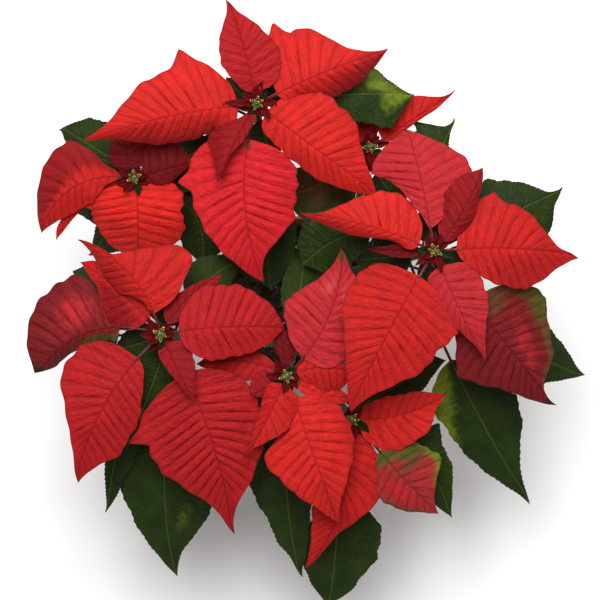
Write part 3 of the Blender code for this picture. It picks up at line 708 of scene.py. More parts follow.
def stalk_material(name):
    """The mesh's own tint with streaks and pores, and bark below a ragged height."""
    made, tree, shader = new_material(name)
    tint = add_node(tree, "ShaderNodeVertexColor", layer_name="tint").outputs["Color"]
    place = tree.nodes.new("ShaderNodeTexCoord").outputs["Object"]
    stretched = fed_node(tree, "ShaderNodeMapping", place, Scale=(1.0, 1.0, 0.18))["Vector"]
    streak = fed_node(tree, "ShaderNodeTexNoise", stretched, Scale=420.0, Detail=4.0)["Fac"]
    pores = fed_node(tree, "ShaderNodeTexVoronoi", stretched, Scale=330.0)["Distance"]
    height = fed_node(tree, "ShaderNodeSeparateXYZ", place)["Z"]
    ragged = math_node(tree, "ADD", height, math_node(tree, "MULTIPLY", streak, 0.05))
    bark = ramp(tree, ragged, BARK_LOW, BARK_HIGH, 1.0, 0.0)
    colour = mix_colours(tree, bark, tint, BARK_COLOUR)
    dark = multiplied(tree, colour, STREAK_TONE)
    colour = mix_colours(tree, ramp(tree, streak, 0.42, 0.7), colour, dark)
    colour = mix_colours(tree, ramp(tree, pores, 0.10, 0.17, 0.35, 0.0), colour, PORE_COLOUR)
    dress(tree, shader, colour, ramp(tree, streak, 0.3, 0.7, 0.42, 0.62), streak, 0.5, 0.0005)
    shader.inputs["Specular IOR Level"].default_value = 0.22
    return made


STALK_FINISH = stalk_material("stalk_skin")

# %% Joining pieces and putting them on the plant
SMOOTH_ANGLE = math.radians(50)


def joined(name, parts, finish=None):
    """Joins the parts into one piece with that name, and gives it its finish."""
    bpy.ops.object.select_all(action="DESELECT")
    for part in parts:
        part.select_set(True)
    bpy.context.view_layer.objects.active = parts[0]
    bpy.ops.object.join()
    obj = bpy.context.object
    obj.name = name
    obj.data.name = name
    if finish:
        obj.data.materials.append(finish)
    return obj


def seat(obj, slot, *nodes):
    """Smooths a finished piece, and sets it to ride with the plant and to stand for its CAD nodes."""
    bpy.ops.object.select_all(action="DESELECT")
    obj.select_set(True)
    bpy.context.view_layer.objects.active = obj
    bpy.ops.object.shade_smooth_by_angle(angle=SMOOTH_ANGLE)
    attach(obj, "root")
    if nodes:
        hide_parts(*nodes)
    print(obj.name, "triangles:", sum(len(p.vertices) - 2 for p in obj.data.polygons))


# %% [markdown]
# ## The seven heads of bracts
#
# Each head's bracts are listed from the top one down, with their tips measured from the head's centre in
# millimetres. The big ones span 12 to 15 cm, as on a plant in a 15 cm pot.

# %% Where the heads are, and their bracts
HEADS = {
    "top": (-34, 154, 366),
    "left": (-133, 98, 322),
    "lower_left": (-110, -27, 352),
    "bottom": (-11, -61, 334),
    "right": (105, 38, 372),
    "upper_right": (57, 124, 300),
    "lower_right": (43, -98, 292),
}

BRACTS = {
    "top": (
        Blade((-23, 82, 2), 9, (11, 17, 20, 19, 13, 5), (21, 26, 26, 21, 13, 4),
              (4, -8), 9, -2, 6, "crimson"),
        Blade((104, 44, -14), 18, (42, 52, 42, 31, 12, 3), (12, 20, 28, 29, 27, 17),
              (-14, -50), 10, 2, 8, "scarlet", lobes=(("left", 0.21, 54), ("left", 0.31, 42))),
        Blade((96, -70, -26), 10, (29, 39, 40, 38, 26, 12), (16, 18, 20, 20, 17, 11),
              (-10, -24), 11, -1, 7, "scarlet"),
        Blade((4, -141, -52), 29, (35, 43, 41, 40, 29, 7), (38, 47, 42, 38, 27, 14),
              (-8, -6), 14, -12, 12, "coral",
              lobes=(("right", 0.31, 52), ("right", 0.36, 42), ("left", 0.62, 39))),
        Blade((-30, -62, 2), 6, (6, 6, 6, 3, 1, 1), (4, 12, 20, 24, 16, 7), (-6, -30), 7, -2, 6, "maroon"),
        Blade((-138, -29, -14), 15, (26, 31, 34, 32, 22, 8), (30, 45, 38, 33, 19, 6),
              (-56, -8), 11, -4, 9, "scarlet", lobes=(("right", 0.3, 50),)),
        Blade((-26, 1, 1), 5, 3, 3, (0, 0), 1, 0, 6, "wine", wave=0),
        Blade((4, 18, 2), 4, 3, 3, (0, 0), 0.5, 0, 6, "wine", wave=0),
    ),
    "left": (
        Blade((-79, -43, -26), 11, (5, 13, 18, 18, 15, 9), (9, 29, 44, 41, 28, 15),
              (-12, -30), 12, -17, 5, "red", lobes=(("right", 0.39, 44),)),
        Blade((-67, -49, -30), 14, (2, 2, 2, 2, 2, 2), (8, 9, 8, 7, 6, 5), (-16, -16), 8, -8, 12, "scarlet"),
        Blade((-1, -67, -46), 3, (34, 37, 36, 37, 36, 26), (36, 43, 41, 39, 35, 27),
              (-12, -12), 18, 3, 7, "lit_scarlet", lobes=(("right", 0.28, 44),)),
        Blade((-15, 46, -14), 6, 15, 19, (-10, -10), 6, 0, 9, "wine"),
        Blade((48, 14, -8), 6, (12, 24, 29, 29, 25, 15), 12, (-6, -18), 6, 0, 6, "wine"),
    ),
    "lower_left": (
        Blade((-65, 76, 0), 17, (3, 16, 28, 27, 21, 10), (29, 48, 40, 19, 2, 1),
              (-50, -6), 9, -12, 5, "red", lobes=(("right", 0.28, 49),)),
        Blade((-66, 58, -26), 15, (19, 25, 24, 19, 9, 5), (6, 8, 9, 10, 11, 8), (-14, -10), 6, -3, 12, "red"),
        Blade((-104, -34, -50), 35, (13, 13, 13, 12, 11, 11), (5, 43, 49, 45, 39, 25),
              (-46, -12), 13, -19, 14, "burgundy", lobes=(("right", 0.44, 49),)),
        Blade((-71, -120, -34), 27, (15, 24, 29, 31, 29, 14), (36, 45, 43, 31, 16, 6),
              (-14, -10), 13, -10, 9, "crimson", lobes=(("left", 0.57, 30),)),
        Blade((26, -53, 2), 8, (15, 17, 16, 14, 10, 6), (9, 9, 8, 6, 4, 2), (-20, -12), 6, 0, 6, "maroon"),
        Blade((98, 5, -22), 15, (21, 32, 34, 34, 29, 20), (19, 25, 26, 24, 21, 15),
              (-8, -10), 12, 3, 5, "crimson"),
        Blade((54, -165, -62), 38, (32, 46, 45, 40, 24, 6), (39, 59, 50, 48, 31, 10),
              (-10, -8), 15, 11, 12, "crimson", lobes=(("right", 0.29, 65), ("right", 0.34, 51))),
        Blade((48, 49, -18), 10, (8, 9, 8, 6, 4, 1), (6, 7, 9, 9, 8, 6), (-10, -10), 5, 5, 11, "maroon"),
        Blade((-13, 6, 0), 4, 3, 3, (0, 0), 0.5, 0, 6, "wine", wave=0),
    ),
    "bottom": (
        Blade((45, 103, 0), 20, (23, 34, 36, 32, 19, 8), (25, 30, 28, 25, 19, 7),
              (-10, -12), 11, -12, 6, "rose"),
        Blade((57, 2, -6), 9, (8, 8, 8, 7, 5, 2), (12, 19, 23, 24, 24, 19), (-12, -24), 7, 6, 6, "red"),
        Blade((53, -18, -16), 11, (7, 9, 10, 10, 9, 5), (5, 6, 7, 7, 6, 5), (-20, -14), 7, -4, 8, "scarlet"),
        Blade((42, -121, -28), 19, (27, 36, 36, 33, 21, 8), (8, 24, 39, 34, 24, 11),
              (-14, -10), 12, 0, 8, "scarlet"),
        Blade((-34, -67, 2), 7, (17, 19, 19, 15, 8, 1), (12, 12, 10, 8, 5, 3), (-14, 26), 6, 2, 5, "red"),
        Blade((-73, 8, -26), 10, (8, 13, 16, 16, 12, 7), (7, 9, 10, 9, 7, 5),
              (-10, -8), 5, -8, 10, "crimson"),
        Blade((-8, 48, -12), 8, (3, 5, 7, 6, 5, 3), (7, 10, 10, 8, 5, 3), (-20, -20), 5, -1, 7, "wine"),
        Blade((-28, -16, -4), 6, 10, (8, 12, 14, 14, 13, 9), (-10, -10), 3, 0, 9, "maroon"),
    ),
    "right": (
        Blade((-20, 98, -26), 20, (4, 10, 15, 23, 35, 28), (13, 25, 39, 43, 35, 20),
              (-12, -14), 14, -1, 5, "rose", lobes=(("left", 0.7, 37), ("right", 0.58, 43))),
        Blade((38, 65, 3), 11, (10, 17, 20, 21, 19, 13), (8, 12, 12, 10, 7, 4),
              (-26, -34), 7, -3, 6, "maroon"),
        Blade((116, -3, -22), 18, (25, 41, 38, 32, 18, 3), (14, 25, 30, 32, 27, 12),
              (-10, -12), 12, 4, 7, "red", lobes=(("left", 0.31, 44), ("left", 0.34, 39))),
        Blade((-67, -127, -22), 23, (30, 49, 41, 40, 25, 10), (39, 45, 43, 34, 21, 10),
              (-8, -12), 13, -2, 9, "red", lobes=(("left", 0.2, 50),)),
        Blade((42, -87, -16), 13, (24, 27, 26, 22, 14, 6), (15, 16, 14, 11, 6, 1),
              (-10, -24), 9, -2, 4, "rose"),
        Blade((-106, 30, -14), 13, (8, 8, 12, 15, 13, 7), (23, 31, 31, 23, 11, 2),
              (-50, -10), 9, -5, 8, "scarlet"),
        Blade((101, -125, -66), 52, (35, 48, 47, 38, 27, 2), (23, 36, 45, 38, 23, 12),
              (-12, -12), 14, 0, 15, "burgundy",
              lobes=(("left", 0.36, 50), ("left", 0.41, 44), ("right", 0.38, 46))),
        Blade((-53, 2, -22), 8, 6, 5, (10, 10), 3, 0, 12, "wine", wave=0.5),
        Blade((-15, -11, 0), 4, 3.5, 3.5, (0, 0), 0.5, 0, 6, "wine", wave=0),
    ),
    "upper_right": (
        Blade((70, 46, 2), 12, (22, 25, 22, 18, 9, 2), (5, 5, 4, 4, 4, 2), (8, -30), 4, 0, 4, "scarlet"),
        Blade((-12, 34, -8), 6, 17, 15, (-10, -10), 4, 0, 6, "maroon"),
        Blade((3, -22, -8), 4, 8, 8, (-10, -10), 2, 0, 6, "wine"),
    ),
    "lower_right": (
        Blade((77, 21, 2), 5, (13, 17, 18, 17, 15, 9), (20, 28, 28, 25, 19, 5),
              (20, -12), 6, -6, 5, "scarlet"),
        Blade((71, -79, -18), 35, (14, 29, 32, 35, 20, 6), (11, 18, 27, 24, 20, 9),
              (-8, -10), 8, -1, 9, "brick", lobes=(("left", 0.56, 35), ("right", 0.38, 27))),
        Blade((-38, -128, -38), 11, (19, 31, 30, 19, 6, 2), (12, 20, 23, 23, 18, 9),
              (-12, -10), 12, 12, 7, "red"),
    ),
}

# %% Stains on the bracts, with painted shade and painted sheen among them
DARK_TIP = StainAndPaintedLight("tip_brown", 1.02, 0.0, 0.05, 3.0, 0.9)
BRACT_STAINS_AND_PAINTED_LIGHT = {
    ("lower_right", 1): (
        StainAndPaintedLight("moss", 0.12, 0.75, 0.32, 0.55, 0.95), StainAndPaintedLight("lime", 0.45, 1.0, 0.35, 0.18, 0.8),
        StainAndPaintedLight("moss", 0.05, 0.0, 0.16, 1.0, 0.9), StainAndPaintedLight("bronze", 0.75, -1.0, 0.5, 0.12, 0.9),
        StainAndPaintedLight("bronze", 0.34, 0.6, 0.10, 0.7, 0.75), StainAndPaintedLight("cherry", 0.5, -0.5, 0.3, 0.35, 0.6),
    ),
    ("right", 6): (
        StainAndPaintedLight("moss", 0.25, 1.0, 0.5, 0.30, 0.8), StainAndPaintedLight("bronze", 0.06, 0.3, 0.16, 0.8, 0.8),
        StainAndPaintedLight("bronze", 0.6, 1.0, 0.4, 0.15, 0.9), StainAndPaintedLight("rose", 0.5, 0.45, 0.3, 0.35, 0.5),
        StainAndPaintedLight("tip_brown", 1.0, 0.0, 0.10, 2.0),
    ),
    ("lower_left", 2): (
        StainAndPaintedLight("moss", 0.25, 0.8, 0.35, 0.5, 0.9), StainAndPaintedLight("rose", 0.4, -0.5, 0.3, 0.4, 0.6),
        StainAndPaintedLight("tip_brown", 1.0, 0.0, 0.09, 2.0),
    ),
    # Painted sheen: the pale pink patches on this bract. The bronze at its tip is its own colour.
    ("bottom", 0): (
        StainAndPaintedLight("sheen_pink", 0.72, 0.5, 0.2, 0.5, 0.42), StainAndPaintedLight("sheen_pink", 0.60, -0.6, 0.25, 0.4, 0.38),
        StainAndPaintedLight("bronze", 0.97, 0.0, 0.10, 1.5, 1.0),
    ),
    ("top", 3): (StainAndPaintedLight("bronze", 0.0, 0.0, 0.10, 0.2, 0.8),),
    # Painted shade on the right half of this bract, which turns away from the lamp.
    ("left", 0): (StainAndPaintedLight("maroon", 0.5, -0.75, 0.6, 0.5, 0.95),),
    # Painted shadow on the left half of this bract, cast by the bract above it.
    ("lower_left", 1): (StainAndPaintedLight("maroon", 0.35, 0.7, 0.45, 0.6, 0.9),),
    # Painted shade on the right half of this bract.
    ("top", 1): (StainAndPaintedLight("crimson", 0.7, -0.8, 0.5, 0.6, 0.8),),
    ("bottom", 3): (StainAndPaintedLight("crimson", 0.9, 0.0, 0.4, 1.0, 0.6),),
    # Painted shade on the left half of this bract.
    ("lower_left", 3): (StainAndPaintedLight("crimson", 0.5, 0.7, 0.6, 0.4, 0.75),),
    # Painted shade on the right half of this bract.
    ("right", 2): (StainAndPaintedLight("crimson", 0.6, -0.7, 0.5, 0.5, 0.7),),
}

# %% [markdown]
# A head is its bracts, their petioles, and the stub of green stem that they sit on. The bracts are one
# piece and the stalks another, because their finishes differ.

# %% Make the heads
BRACT_PHASE = 2.3
RIDGED_WIDTH = 30.0
SLENDER_WIDTH = 12.0
WIDEST = STATIONS[2]
VEIN_SPACING = 7.2
STUB_LENGTH = 18.0
STUB_RADIUS = 3.3
YOUNG_BRACTS = 11
YOUNG_TURN = 2.4
YOUNG_LENGTH = 13.5
YOUNG_WIDTH = 3.5
RED_STALKED = ("scarlet", "red", "rose")


def vein_count(root, tip, blade):
    """Pairs of side veins: about one for every 7 mm of blade, and at least five."""
    length = float(np.linalg.norm(np.array(tip) - root)) - blade.petiole
    return max(5, round(length / VEIN_SPACING))


def grown_bract(head, k, blade):
    """One bract of a head, and its petiole."""
    centre = np.array(HEADS[head], float)
    root = centre - np.array([0, 0, blade.drop])
    tip = centre + np.array(blade.tip)
    wide = max(half_width(side, (), np.array([WIDEST]))[0] for side in (blade.left, blade.right))
    ridge = RIDGE_HEIGHT * min(1.0, wide / RIDGED_WIDTH)
    veins = vein_count(root, tip, blade)
    stains_and_painted_light = BRACT_STAINS_AND_PAINTED_LIGHT.get((head, k), ()) + (DARK_TIP,)
    obj, curve, base = blade_mesh(f"bract_{k}", root, tip, blade, BRACT_PHASE * k, veins, ridge, stains_and_painted_light)
    stalk = "red_stalk" if blade.tint in RED_STALKED else "dark_stalk"
    return obj, petiole_rod(f"petiole_{k}", curve, base, 1.0 if wide > SLENDER_WIDTH else 0.6, stalk)


def young_bract(head, k):
    """One of the small bracts round the flowers, each lower and further round than the last."""
    centre = np.array(HEADS[head], float)
    turn = YOUNG_TURN * k + len(head)
    long = YOUNG_LENGTH * (0.75 + 0.55 * math.sin(2.1 * k + len(head)) ** 2)
    out = np.array([math.cos(turn), math.sin(turn), 0.30 - 0.11 * k]) * long
    tint = "green" if k % 4 == 3 else "wine"
    young = Blade(tuple(out), 1.5, YOUNG_WIDTH, YOUNG_WIDTH, (20, 20), 1.4, 1.0, 2, tint, wave=0.3)
    root = centre + out * 0.15 - np.array([0, 0, 2.0 + 0.5 * k])
    return blade_mesh(f"young_{k}", root, centre + out, young, k, 5, 0.15, (DARK_TIP,))[0]


def stem_stub(head):
    """The end of the stem under a head, a little swollen where the bracts sit."""
    heights = np.linspace(-STUB_LENGTH, -0.5, 9)
    radii = np.interp(heights, [-STUB_LENGTH, -6, -0.5], [2.8, STUB_RADIUS + 0.3, STUB_RADIUS * 0.75])
    centres = [np.array(HEADS[head], float) + np.array([0, 0, h]) for h in heights]
    return rod("stub", centres, radii, 14, "green_stalk")


for head, rows in BRACTS.items():
    blades, stalks = zip(*(grown_bract(head, k, blade) for k, blade in enumerate(rows)))
    young = [young_bract(head, k) for k in range(YOUNG_BRACTS)]
    seat(joined(f"{head}_bracts", [*blades, *young], BRACT_FINISH), "bract_red", f"bracts_{head}")
    seat(joined(f"{head}_bract_stalks", [*stalks, stem_stub(head)], STALK_FINISH), "bract_red")


# %% [markdown]
# ## The green leaves and the stems
#
# Three cuttings were rooted in the pot. Each trunk forks into branches that spread out first and then
# climb to their heads, and the leaves grow from the branches on long red petioles. A leaf's root is a
# share of the way up its branch, and its tip is in the pot's own frame.

# %% The leaves on each branch
CUTTINGS = {
    "left": ((-22, 22), (-30, 38, 150), ("top", "left")),
    "right": ((26, 14), (40, 24, 152), ("right", "upper_right")),
    "front": ((0, -26), (-4, -40, 148), ("lower_left", "bottom", "lower_right")),
}


def leaf(along, *measures, **more):
    """A green leaf that leaves its branch at that share of the way up."""
    return Leaf(along, Blade(*measures, **more))


LEAVES = {
    "top": (
        leaf(0.9, (92, 164, 318), 54, (11, 16, 20, 22, 14, 6), (11, 18, 22, 25, 27, 20),
             (-10, -6), 7, 8, lobes=(("left", 0.59, 22), ("right", 0.79, 27))),
        leaf(0.82, (-25, 8, 258), 56, (19, 24, 26, 25, 23, 17), (18, 22, 23, 23, 20, 14), (-8, -8), 9, 0),
        leaf(0.86, (-115, 167, 290), 31, 20, 20, (-8, -8), 8, -6),
        leaf(0.95, (-60, 178, 328), 8, 15, 16, (-8, -8), 4, 0),
        leaf(0.96, (-8, 188, 330), 6, 15, 15, (-8, -8), 4, 0),
        leaf(0.93, (-20, 106, 312), 6, 17, 17, (-8, -8), 4, 0),
        leaf(0.45, (-84, 158, 196), 26, 19, 19, (-10, -10), 9, 0),
    ),
    "left": (
        leaf(0.9, (-197, 142, 282), 29, (12, 14, 14, 14, 11, 8), (15, 23, 26, 23, 20, 11), (-10, -12), 8, -2),
        leaf(0.8, (-194, 76, 236), 45, 24, 24, (-10, -10), 14, -4),
        leaf(0.86, (-176, 36, 244), 26, 29, 14, (-10, -10), 12, -2),
        leaf(0.92, (-62, 136, 286), 8, 19, 26, (-8, -8), 5, 0),
        leaf(0.95, (-162, 116, 296), 6, 15, 15, (-8, -8), 4, 0),
        leaf(0.84, (-82, 30, 258), 18, (17, 20, 22, 22, 21, 16), (11, 18, 20, 21, 20, 17), (-8, -8), 9, 18),
        leaf(0.5, (-165, 88, 176), 26, 19, 19, (-10, -10), 11, 0),
    ),
    "right": (
        leaf(0.92, (213, 90, 312), 46, (21, 33, 31, 26, 16, 3), (18, 25, 28, 30, 27, 10),
             (-10, -12), 9, 0, lobes=(("left", 0.3, 35),)),
        leaf(0.84, (238, -64, 250), 90, (21, 26, 26, 24, 18, 9), (10, 14, 17, 22, 22, 9),
             (-10, -12), 14, -12, lobes=(("right", 0.7, 19),)),
        leaf(0.66, (198, -174, 208), 97, (16, 24, 38, 31, 17, 5), (25, 32, 30, 26, 20, 9),
             (-10, -12), 20, -8, lobes=(("right", 0.1, 23), ("left", 0.38, 38))),
        leaf(0.88, (2, 28, 298), 48, (15, 19, 22, 23, 22, 20), (14, 19, 24, 27, 27, 19), (-8, -10), 8, -22),
        leaf(0.86, (128, 148, 292), 54, (16, 22, 27, 28, 26, 6), (9, 11, 11, 9, 4, 1),
             (-14, -14), 8, 9, lobes=(("left", 0.76, 31),)),
        leaf(0.9, (42, 32, 290), 14, 20, 25, (-8, -8), 6, 0),
        leaf(0.96, (103, 80, 334), 8, 16, 22, (-8, -8), 4, 0),
        leaf(0.96, (136, 14, 332), 8, 21, 15, (-8, -8), 4, 0),
        leaf(0.5, (150, 10, 190), 26, 19, 19, (-10, -10), 11, 0),
    ),
    "upper_right": (
        leaf(0.9, (-15, 85, 274), 15, (18, 27, 31, 31, 29, 20), (15, 19, 21, 22, 20, 16),
             (-8, -8), 5, 4, tint="olive"),
        leaf(0.84, (84, 71, 272), 13, 20, 20, (-8, -8), 7, 2),
        leaf(0.76, (47, 187, 250), 37, 22, 22, (-10, -10), 10, -4),
        leaf(0.5, (104, 130, 188), 24, 19, 19, (-10, -10), 9, 0),
    ),
    "lower_left": (
        leaf(0.76, (-106, -236, 212), 83, (21, 34, 41, 42, 30, 10), (28, 39, 40, 33, 23, 12),
             (-10, -10), 18, -13),
        leaf(0.93, (-143, -123, 288), 22, (14, 19, 20, 17, 13, 7), (19, 19, 18, 17, 14, 10),
             (-10, -10), 6, 2),
        leaf(0.84, (-162, -179, 240), 65, (12, 17, 17, 16, 12, 7), (12, 13, 12, 10, 7, 3),
             (-12, -12), 12, -12),
        leaf(0.9, (-188, 23, 278), 43, (14, 15, 14, 14, 10, 5), (10, 13, 16, 19, 18, 15), (-10, -10), 8, 1),
        leaf(0.8, (-193, -22, 246), 60, 24, 24, (-10, -10), 13, 4),
        leaf(0.88, (-43, 36, 290), 32, 20, 20, (-8, -8), 8, 10),
        leaf(0.95, (-103, 14, 320), 6, 17, 17, (-8, -8), 4, 0),
        leaf(0.9, (-154, -42, 298), 10, 18, 18, (-8, -8), 5, 0),
        leaf(0.45, (-150, -62, 188), 34, 19, 19, (-10, -10), 11, 0),
    ),
    "bottom": (
        leaf(0.8, (0, -238, 206), 71, (16, 21, 22, 19, 15, 9), (24, 32, 27, 19, 14, 4), (-12, -12), 17, -7),
        leaf(0.9, (4, 40, 276), 39, (8, 13, 16, 16, 15, 11), (7, 13, 15, 16, 16, 11), (-8, -8), 8, -1),
        leaf(0.8, (-66, -150, 236), 12, 30, 26, (-12, -12), 13, 4),
        leaf(0.45, (-22, -134, 182), 26, 19, 19, (-10, -10), 11, 0),
    ),
    "lower_right": (
        leaf(0.86, (128, -185, 222), 59, (29, 25, 20, 18, 11, 5), (14, 18, 19, 18, 16, 9),
             (-12, -12), 12, 18, lobes=(("left", 0.13, 32),)),
        leaf(0.68, (25, -263, 196), 88, (26, 37, 39, 36, 27, 18), (17, 24, 29, 30, 26, 16),
             (-10, -10), 17, 4, lobes=(("left", 0.33, 40),)),
        leaf(0.88, (122, -50, 246), 10, (14, 20, 23, 23, 21, 14), 20, (-8, -8), 6, 0),
        leaf(0.45, (88, -128, 176), 32, 19, 19, (-10, -10), 11, 0),
    ),
}

# %% Stains on the leaves
LEAF_STAINS = {
    ("top", 0): (
        StainAndPaintedLight("lime", 0.85, 0.1, 0.25, 0.9, 0.8), StainAndPaintedLight("lime", 0.62, 0.6, 0.25, 0.5, 0.75),
    ),
    ("right", 2): (
        StainAndPaintedLight("lime", 0.1, -0.75, 0.22, 0.45, 0.9), StainAndPaintedLight("lime", 0.3, -1.0, 0.2, 0.25, 0.7),
    ),
    ("lower_left", 0): (StainAndPaintedLight("lime", 0.6, 0.6, 0.12, 0.25, 0.42),),
    ("upper_right", 0): (StainAndPaintedLight("bronze", 0.6, 0.0, 0.3, 0.8, 0.6),),
    ("right", 3): (StainAndPaintedLight("lime", 0.4, -0.95, 0.4, 0.2, 0.5),),
}

# %% Make the cuttings
LEAF_PHASE = 1.7
LEAF_RIDGE = 0.7
TOOTH_DEPTH = 0.9
TRUNK_RADIUS = 5.6
TRUNK_ROOT = 68.0
COLLAR = 118.0
BRANCH_RADIUS = 3.9
BRANCH_TOP_RADIUS = 2.7
BRANCH_BEND = (0.72, 0.72, 0.42)
NECK = 22.0
KNOT_HEIGHT = 0.7
KNOT_LENGTH = 0.018


def branch_line(fork, head):
    """Start, control point and end of a branch."""
    neck = np.array(HEADS[head], float) - np.array([0, 0, NECK])
    return fork, fork + (neck - fork) * np.array(BRANCH_BEND), neck


def branch_rod(head, curve):
    """A branch, with a slight swelling at each leaf's root."""
    t = np.linspace(0, 1, 46)
    centres, _ = bend(curve, t)
    radii = BRANCH_RADIUS + (BRANCH_TOP_RADIUS - BRANCH_RADIUS) * t
    for item in LEAVES[head]:
        radii = radii + KNOT_HEIGHT * np.exp(-((t - item.along) / KNOT_LENGTH) ** 2)
    top = centres[-1] + np.array([0, 0, 3.7])
    return rod(f"branch_{head}", [*centres, top], [*radii, BRANCH_TOP_RADIUS], 14, "green_stalk")


def trunk_rod(foot, fork):
    """The trunk, straight out of the soil and then leaning to its fork."""
    collar = np.array([*foot, COLLAR])
    low = [np.array([*foot, z]) for z in np.linspace(TRUNK_ROOT, COLLAR, 5)]
    rise = [collar + (fork - collar) * s for s in (0.3, 0.6, 0.85, 1.0)]
    centres = low + rise + [fork + np.array([0, 0, 3.5])]
    radii = [TRUNK_RADIUS] * 5 + [TRUNK_RADIUS * r for r in (0.97, 0.94, 0.98, 0.95)] + [3.6]
    return rod("trunk", centres, radii, 18, "green_stalk")


def grown_leaf(head, k, item, curve, phase):
    """One green leaf with its toothed edge, and its petiole."""
    root = bend(curve, item.along)[0]
    blade, stains_and_painted_light = item.blade, LEAF_STAINS.get((head, k), ())
    veins = vein_count(root, blade.tip, blade)
    name = f"leaf_{head}_{k}"
    obj, line, base = blade_mesh(name, root, blade.tip, blade, phase, veins, LEAF_RIDGE, stains_and_painted_light, TOOTH_DEPTH)
    return obj, petiole_rod(f"petiole_{head}_{k}", line, base, 1.1, "red_stalk")


for name, (foot, fork, heads) in CUTTINGS.items():
    fork = np.array(fork, float)
    stalks, blades = [trunk_rod(foot, fork)], []
    for number, head in enumerate(heads):
        curve = branch_line(fork, head)
        stalks.append(branch_rod(head, curve))
        for k, item in enumerate(LEAVES[head]):
            blade, stalk = grown_leaf(head, k, item, curve, LEAF_PHASE * k + number)
            blades.append(blade)
            stalks.append(stalk)
    seat(joined(f"stems_{name}", stalks, STALK_FINISH), "leaf_green", f"cutting_{name}")
    seat(joined(f"leaves_{name}", blades, LEAF_FINISH), "leaf_green", f"cutting_{name}")


# %% [markdown]
# ## The true flowers
#
# What most people take for petals are the bracts. The flowers are the small green cups in the middle, the
# cyathia. Each has a round mouth with red stamens, some tipped with yellow, and a yellow gland on its outer
# side. One is modelled from a ball, whose top is inset and pushed in for the mouth, and then copied.

# %% Finishes of the flower cups
def fleshy_material(name, low_colour, high_colour, scale, roughness):
    """A soft glossy skin that a noise varies between two colours."""
    made, tree, shader = new_material(name)
    place = tree.nodes.new("ShaderNodeTexCoord").outputs["Object"]
    noise = fed_node(tree, "ShaderNodeTexNoise", place, Scale=scale, Detail=3.0)["Fac"]
    colour = mix_colours(tree, ramp(tree, noise, 0.35, 0.65), low_colour, high_colour)
    rough = ramp(tree, noise, 0.3, 0.7, roughness - 0.05, roughness + 0.08)
    dress(tree, shader, colour, rough, noise, 0.3, 0.0002)
    return made


CUP_GREEN = fleshy_material("cup_green", (0.030, 0.055, 0.008), (0.13, 0.17, 0.02), 600.0, 0.42)
GLAND_YELLOW = fleshy_material("gland_yellow", (0.45, 0.33, 0.02), (0.66, 0.58, 0.13), 700.0, 0.35)
STAMEN_RED = fleshy_material("stamen_red", (0.32, 0.012, 0.012), (0.55, 0.04, 0.02), 900.0, 0.5)

# %% One flower cup
CUP_RADIUS = 2.0
CUP_LENGTH = 6.0
MOUTH_LEVEL = 0.86
MOUTH_RIM = 0.25
MOUTH_DEPTH = 1.6
GLAND_RADIUS = 0.8
GLAND_HEIGHT = 4.3
STAMENS = 5
STAMEN_RADIUS = 0.22
ANTHER_RADIUS = 0.42


def ball(name, centre, radius, segments, rings, finish, stretch=(1, 1, 1)):
    """A small rounded body at a place in millimetres."""
    ball_add = bpy.ops.mesh.primitive_uv_sphere_add
    obj = started(name, ball_add, segments=segments, ring_count=rings, radius=radius * MM)
    obj.data.transform(Matrix.Translation(Vector(centre) * MM) @ Matrix.Diagonal((*stretch, 1.0)))
    obj.data.materials.append(finish)
    return obj


def flower_cup():
    """One cup at the origin, upright, with its gland towards +X."""
    tall = CUP_LENGTH / 2 / CUP_RADIUS
    cup = ball("cup", (0, 0, CUP_LENGTH / 2), CUP_RADIUS, 14, 12, CUP_GREEN, (1, 1, tall))
    edit_faces(cup, lambda face: face.calc_center_median().z > MOUTH_LEVEL * CUP_LENGTH * MM)
    bpy.ops.mesh.inset(thickness=MOUTH_RIM * MM)
    bpy.ops.mesh.extrude_region_move(TRANSFORM_OT_translate={"value": (0, 0, -MOUTH_DEPTH * MM)})
    bpy.ops.object.mode_set(mode="OBJECT")
    gland_place = (CUP_RADIUS * 0.95, 0, GLAND_HEIGHT)
    parts = [cup, ball("gland", gland_place, GLAND_RADIUS, 10, 7, GLAND_YELLOW, (0.75, 1.3, 0.8))]
    for k in range(STAMENS):
        turn = 2 * math.pi * k / STAMENS + 0.3
        lean = Vector((math.cos(turn), math.sin(turn), 0))
        foot = lean * 0.5 + Vector((0, 0, 4.6))
        tip = lean * 1.0 + Vector((0, 0, 6.2 + 0.5 * (k % 2)))
        stamen = rod(f"stamen_{k}", [foot.lerp(tip, s) for s in (0, 0.35, 0.7, 1)], [STAMEN_RADIUS] * 4, 5)
        stamen.data.materials.append(STAMEN_RED)
        finish = GLAND_YELLOW if k % 2 else STAMEN_RED
        parts += [stamen, ball(f"anther_{k}", tuple(tip), ANTHER_RADIUS, 6, 5, finish)]
    return joined("flower_cup", parts)


# %% Clusters of cups on the heads
CUPS_IN_RING = 5
CUP_RING = 3.2
CUP_LEAN, MIDDLE_LEAN = 0.2, 0.05
CUP_RISE, MIDDLE_RISE = 0.5, 1.4


def copied(master):
    """A copy with a mesh of its own."""
    made = master.copy()
    made.data = master.data.copy()
    bpy.context.scene.collection.objects.link(made)
    return made


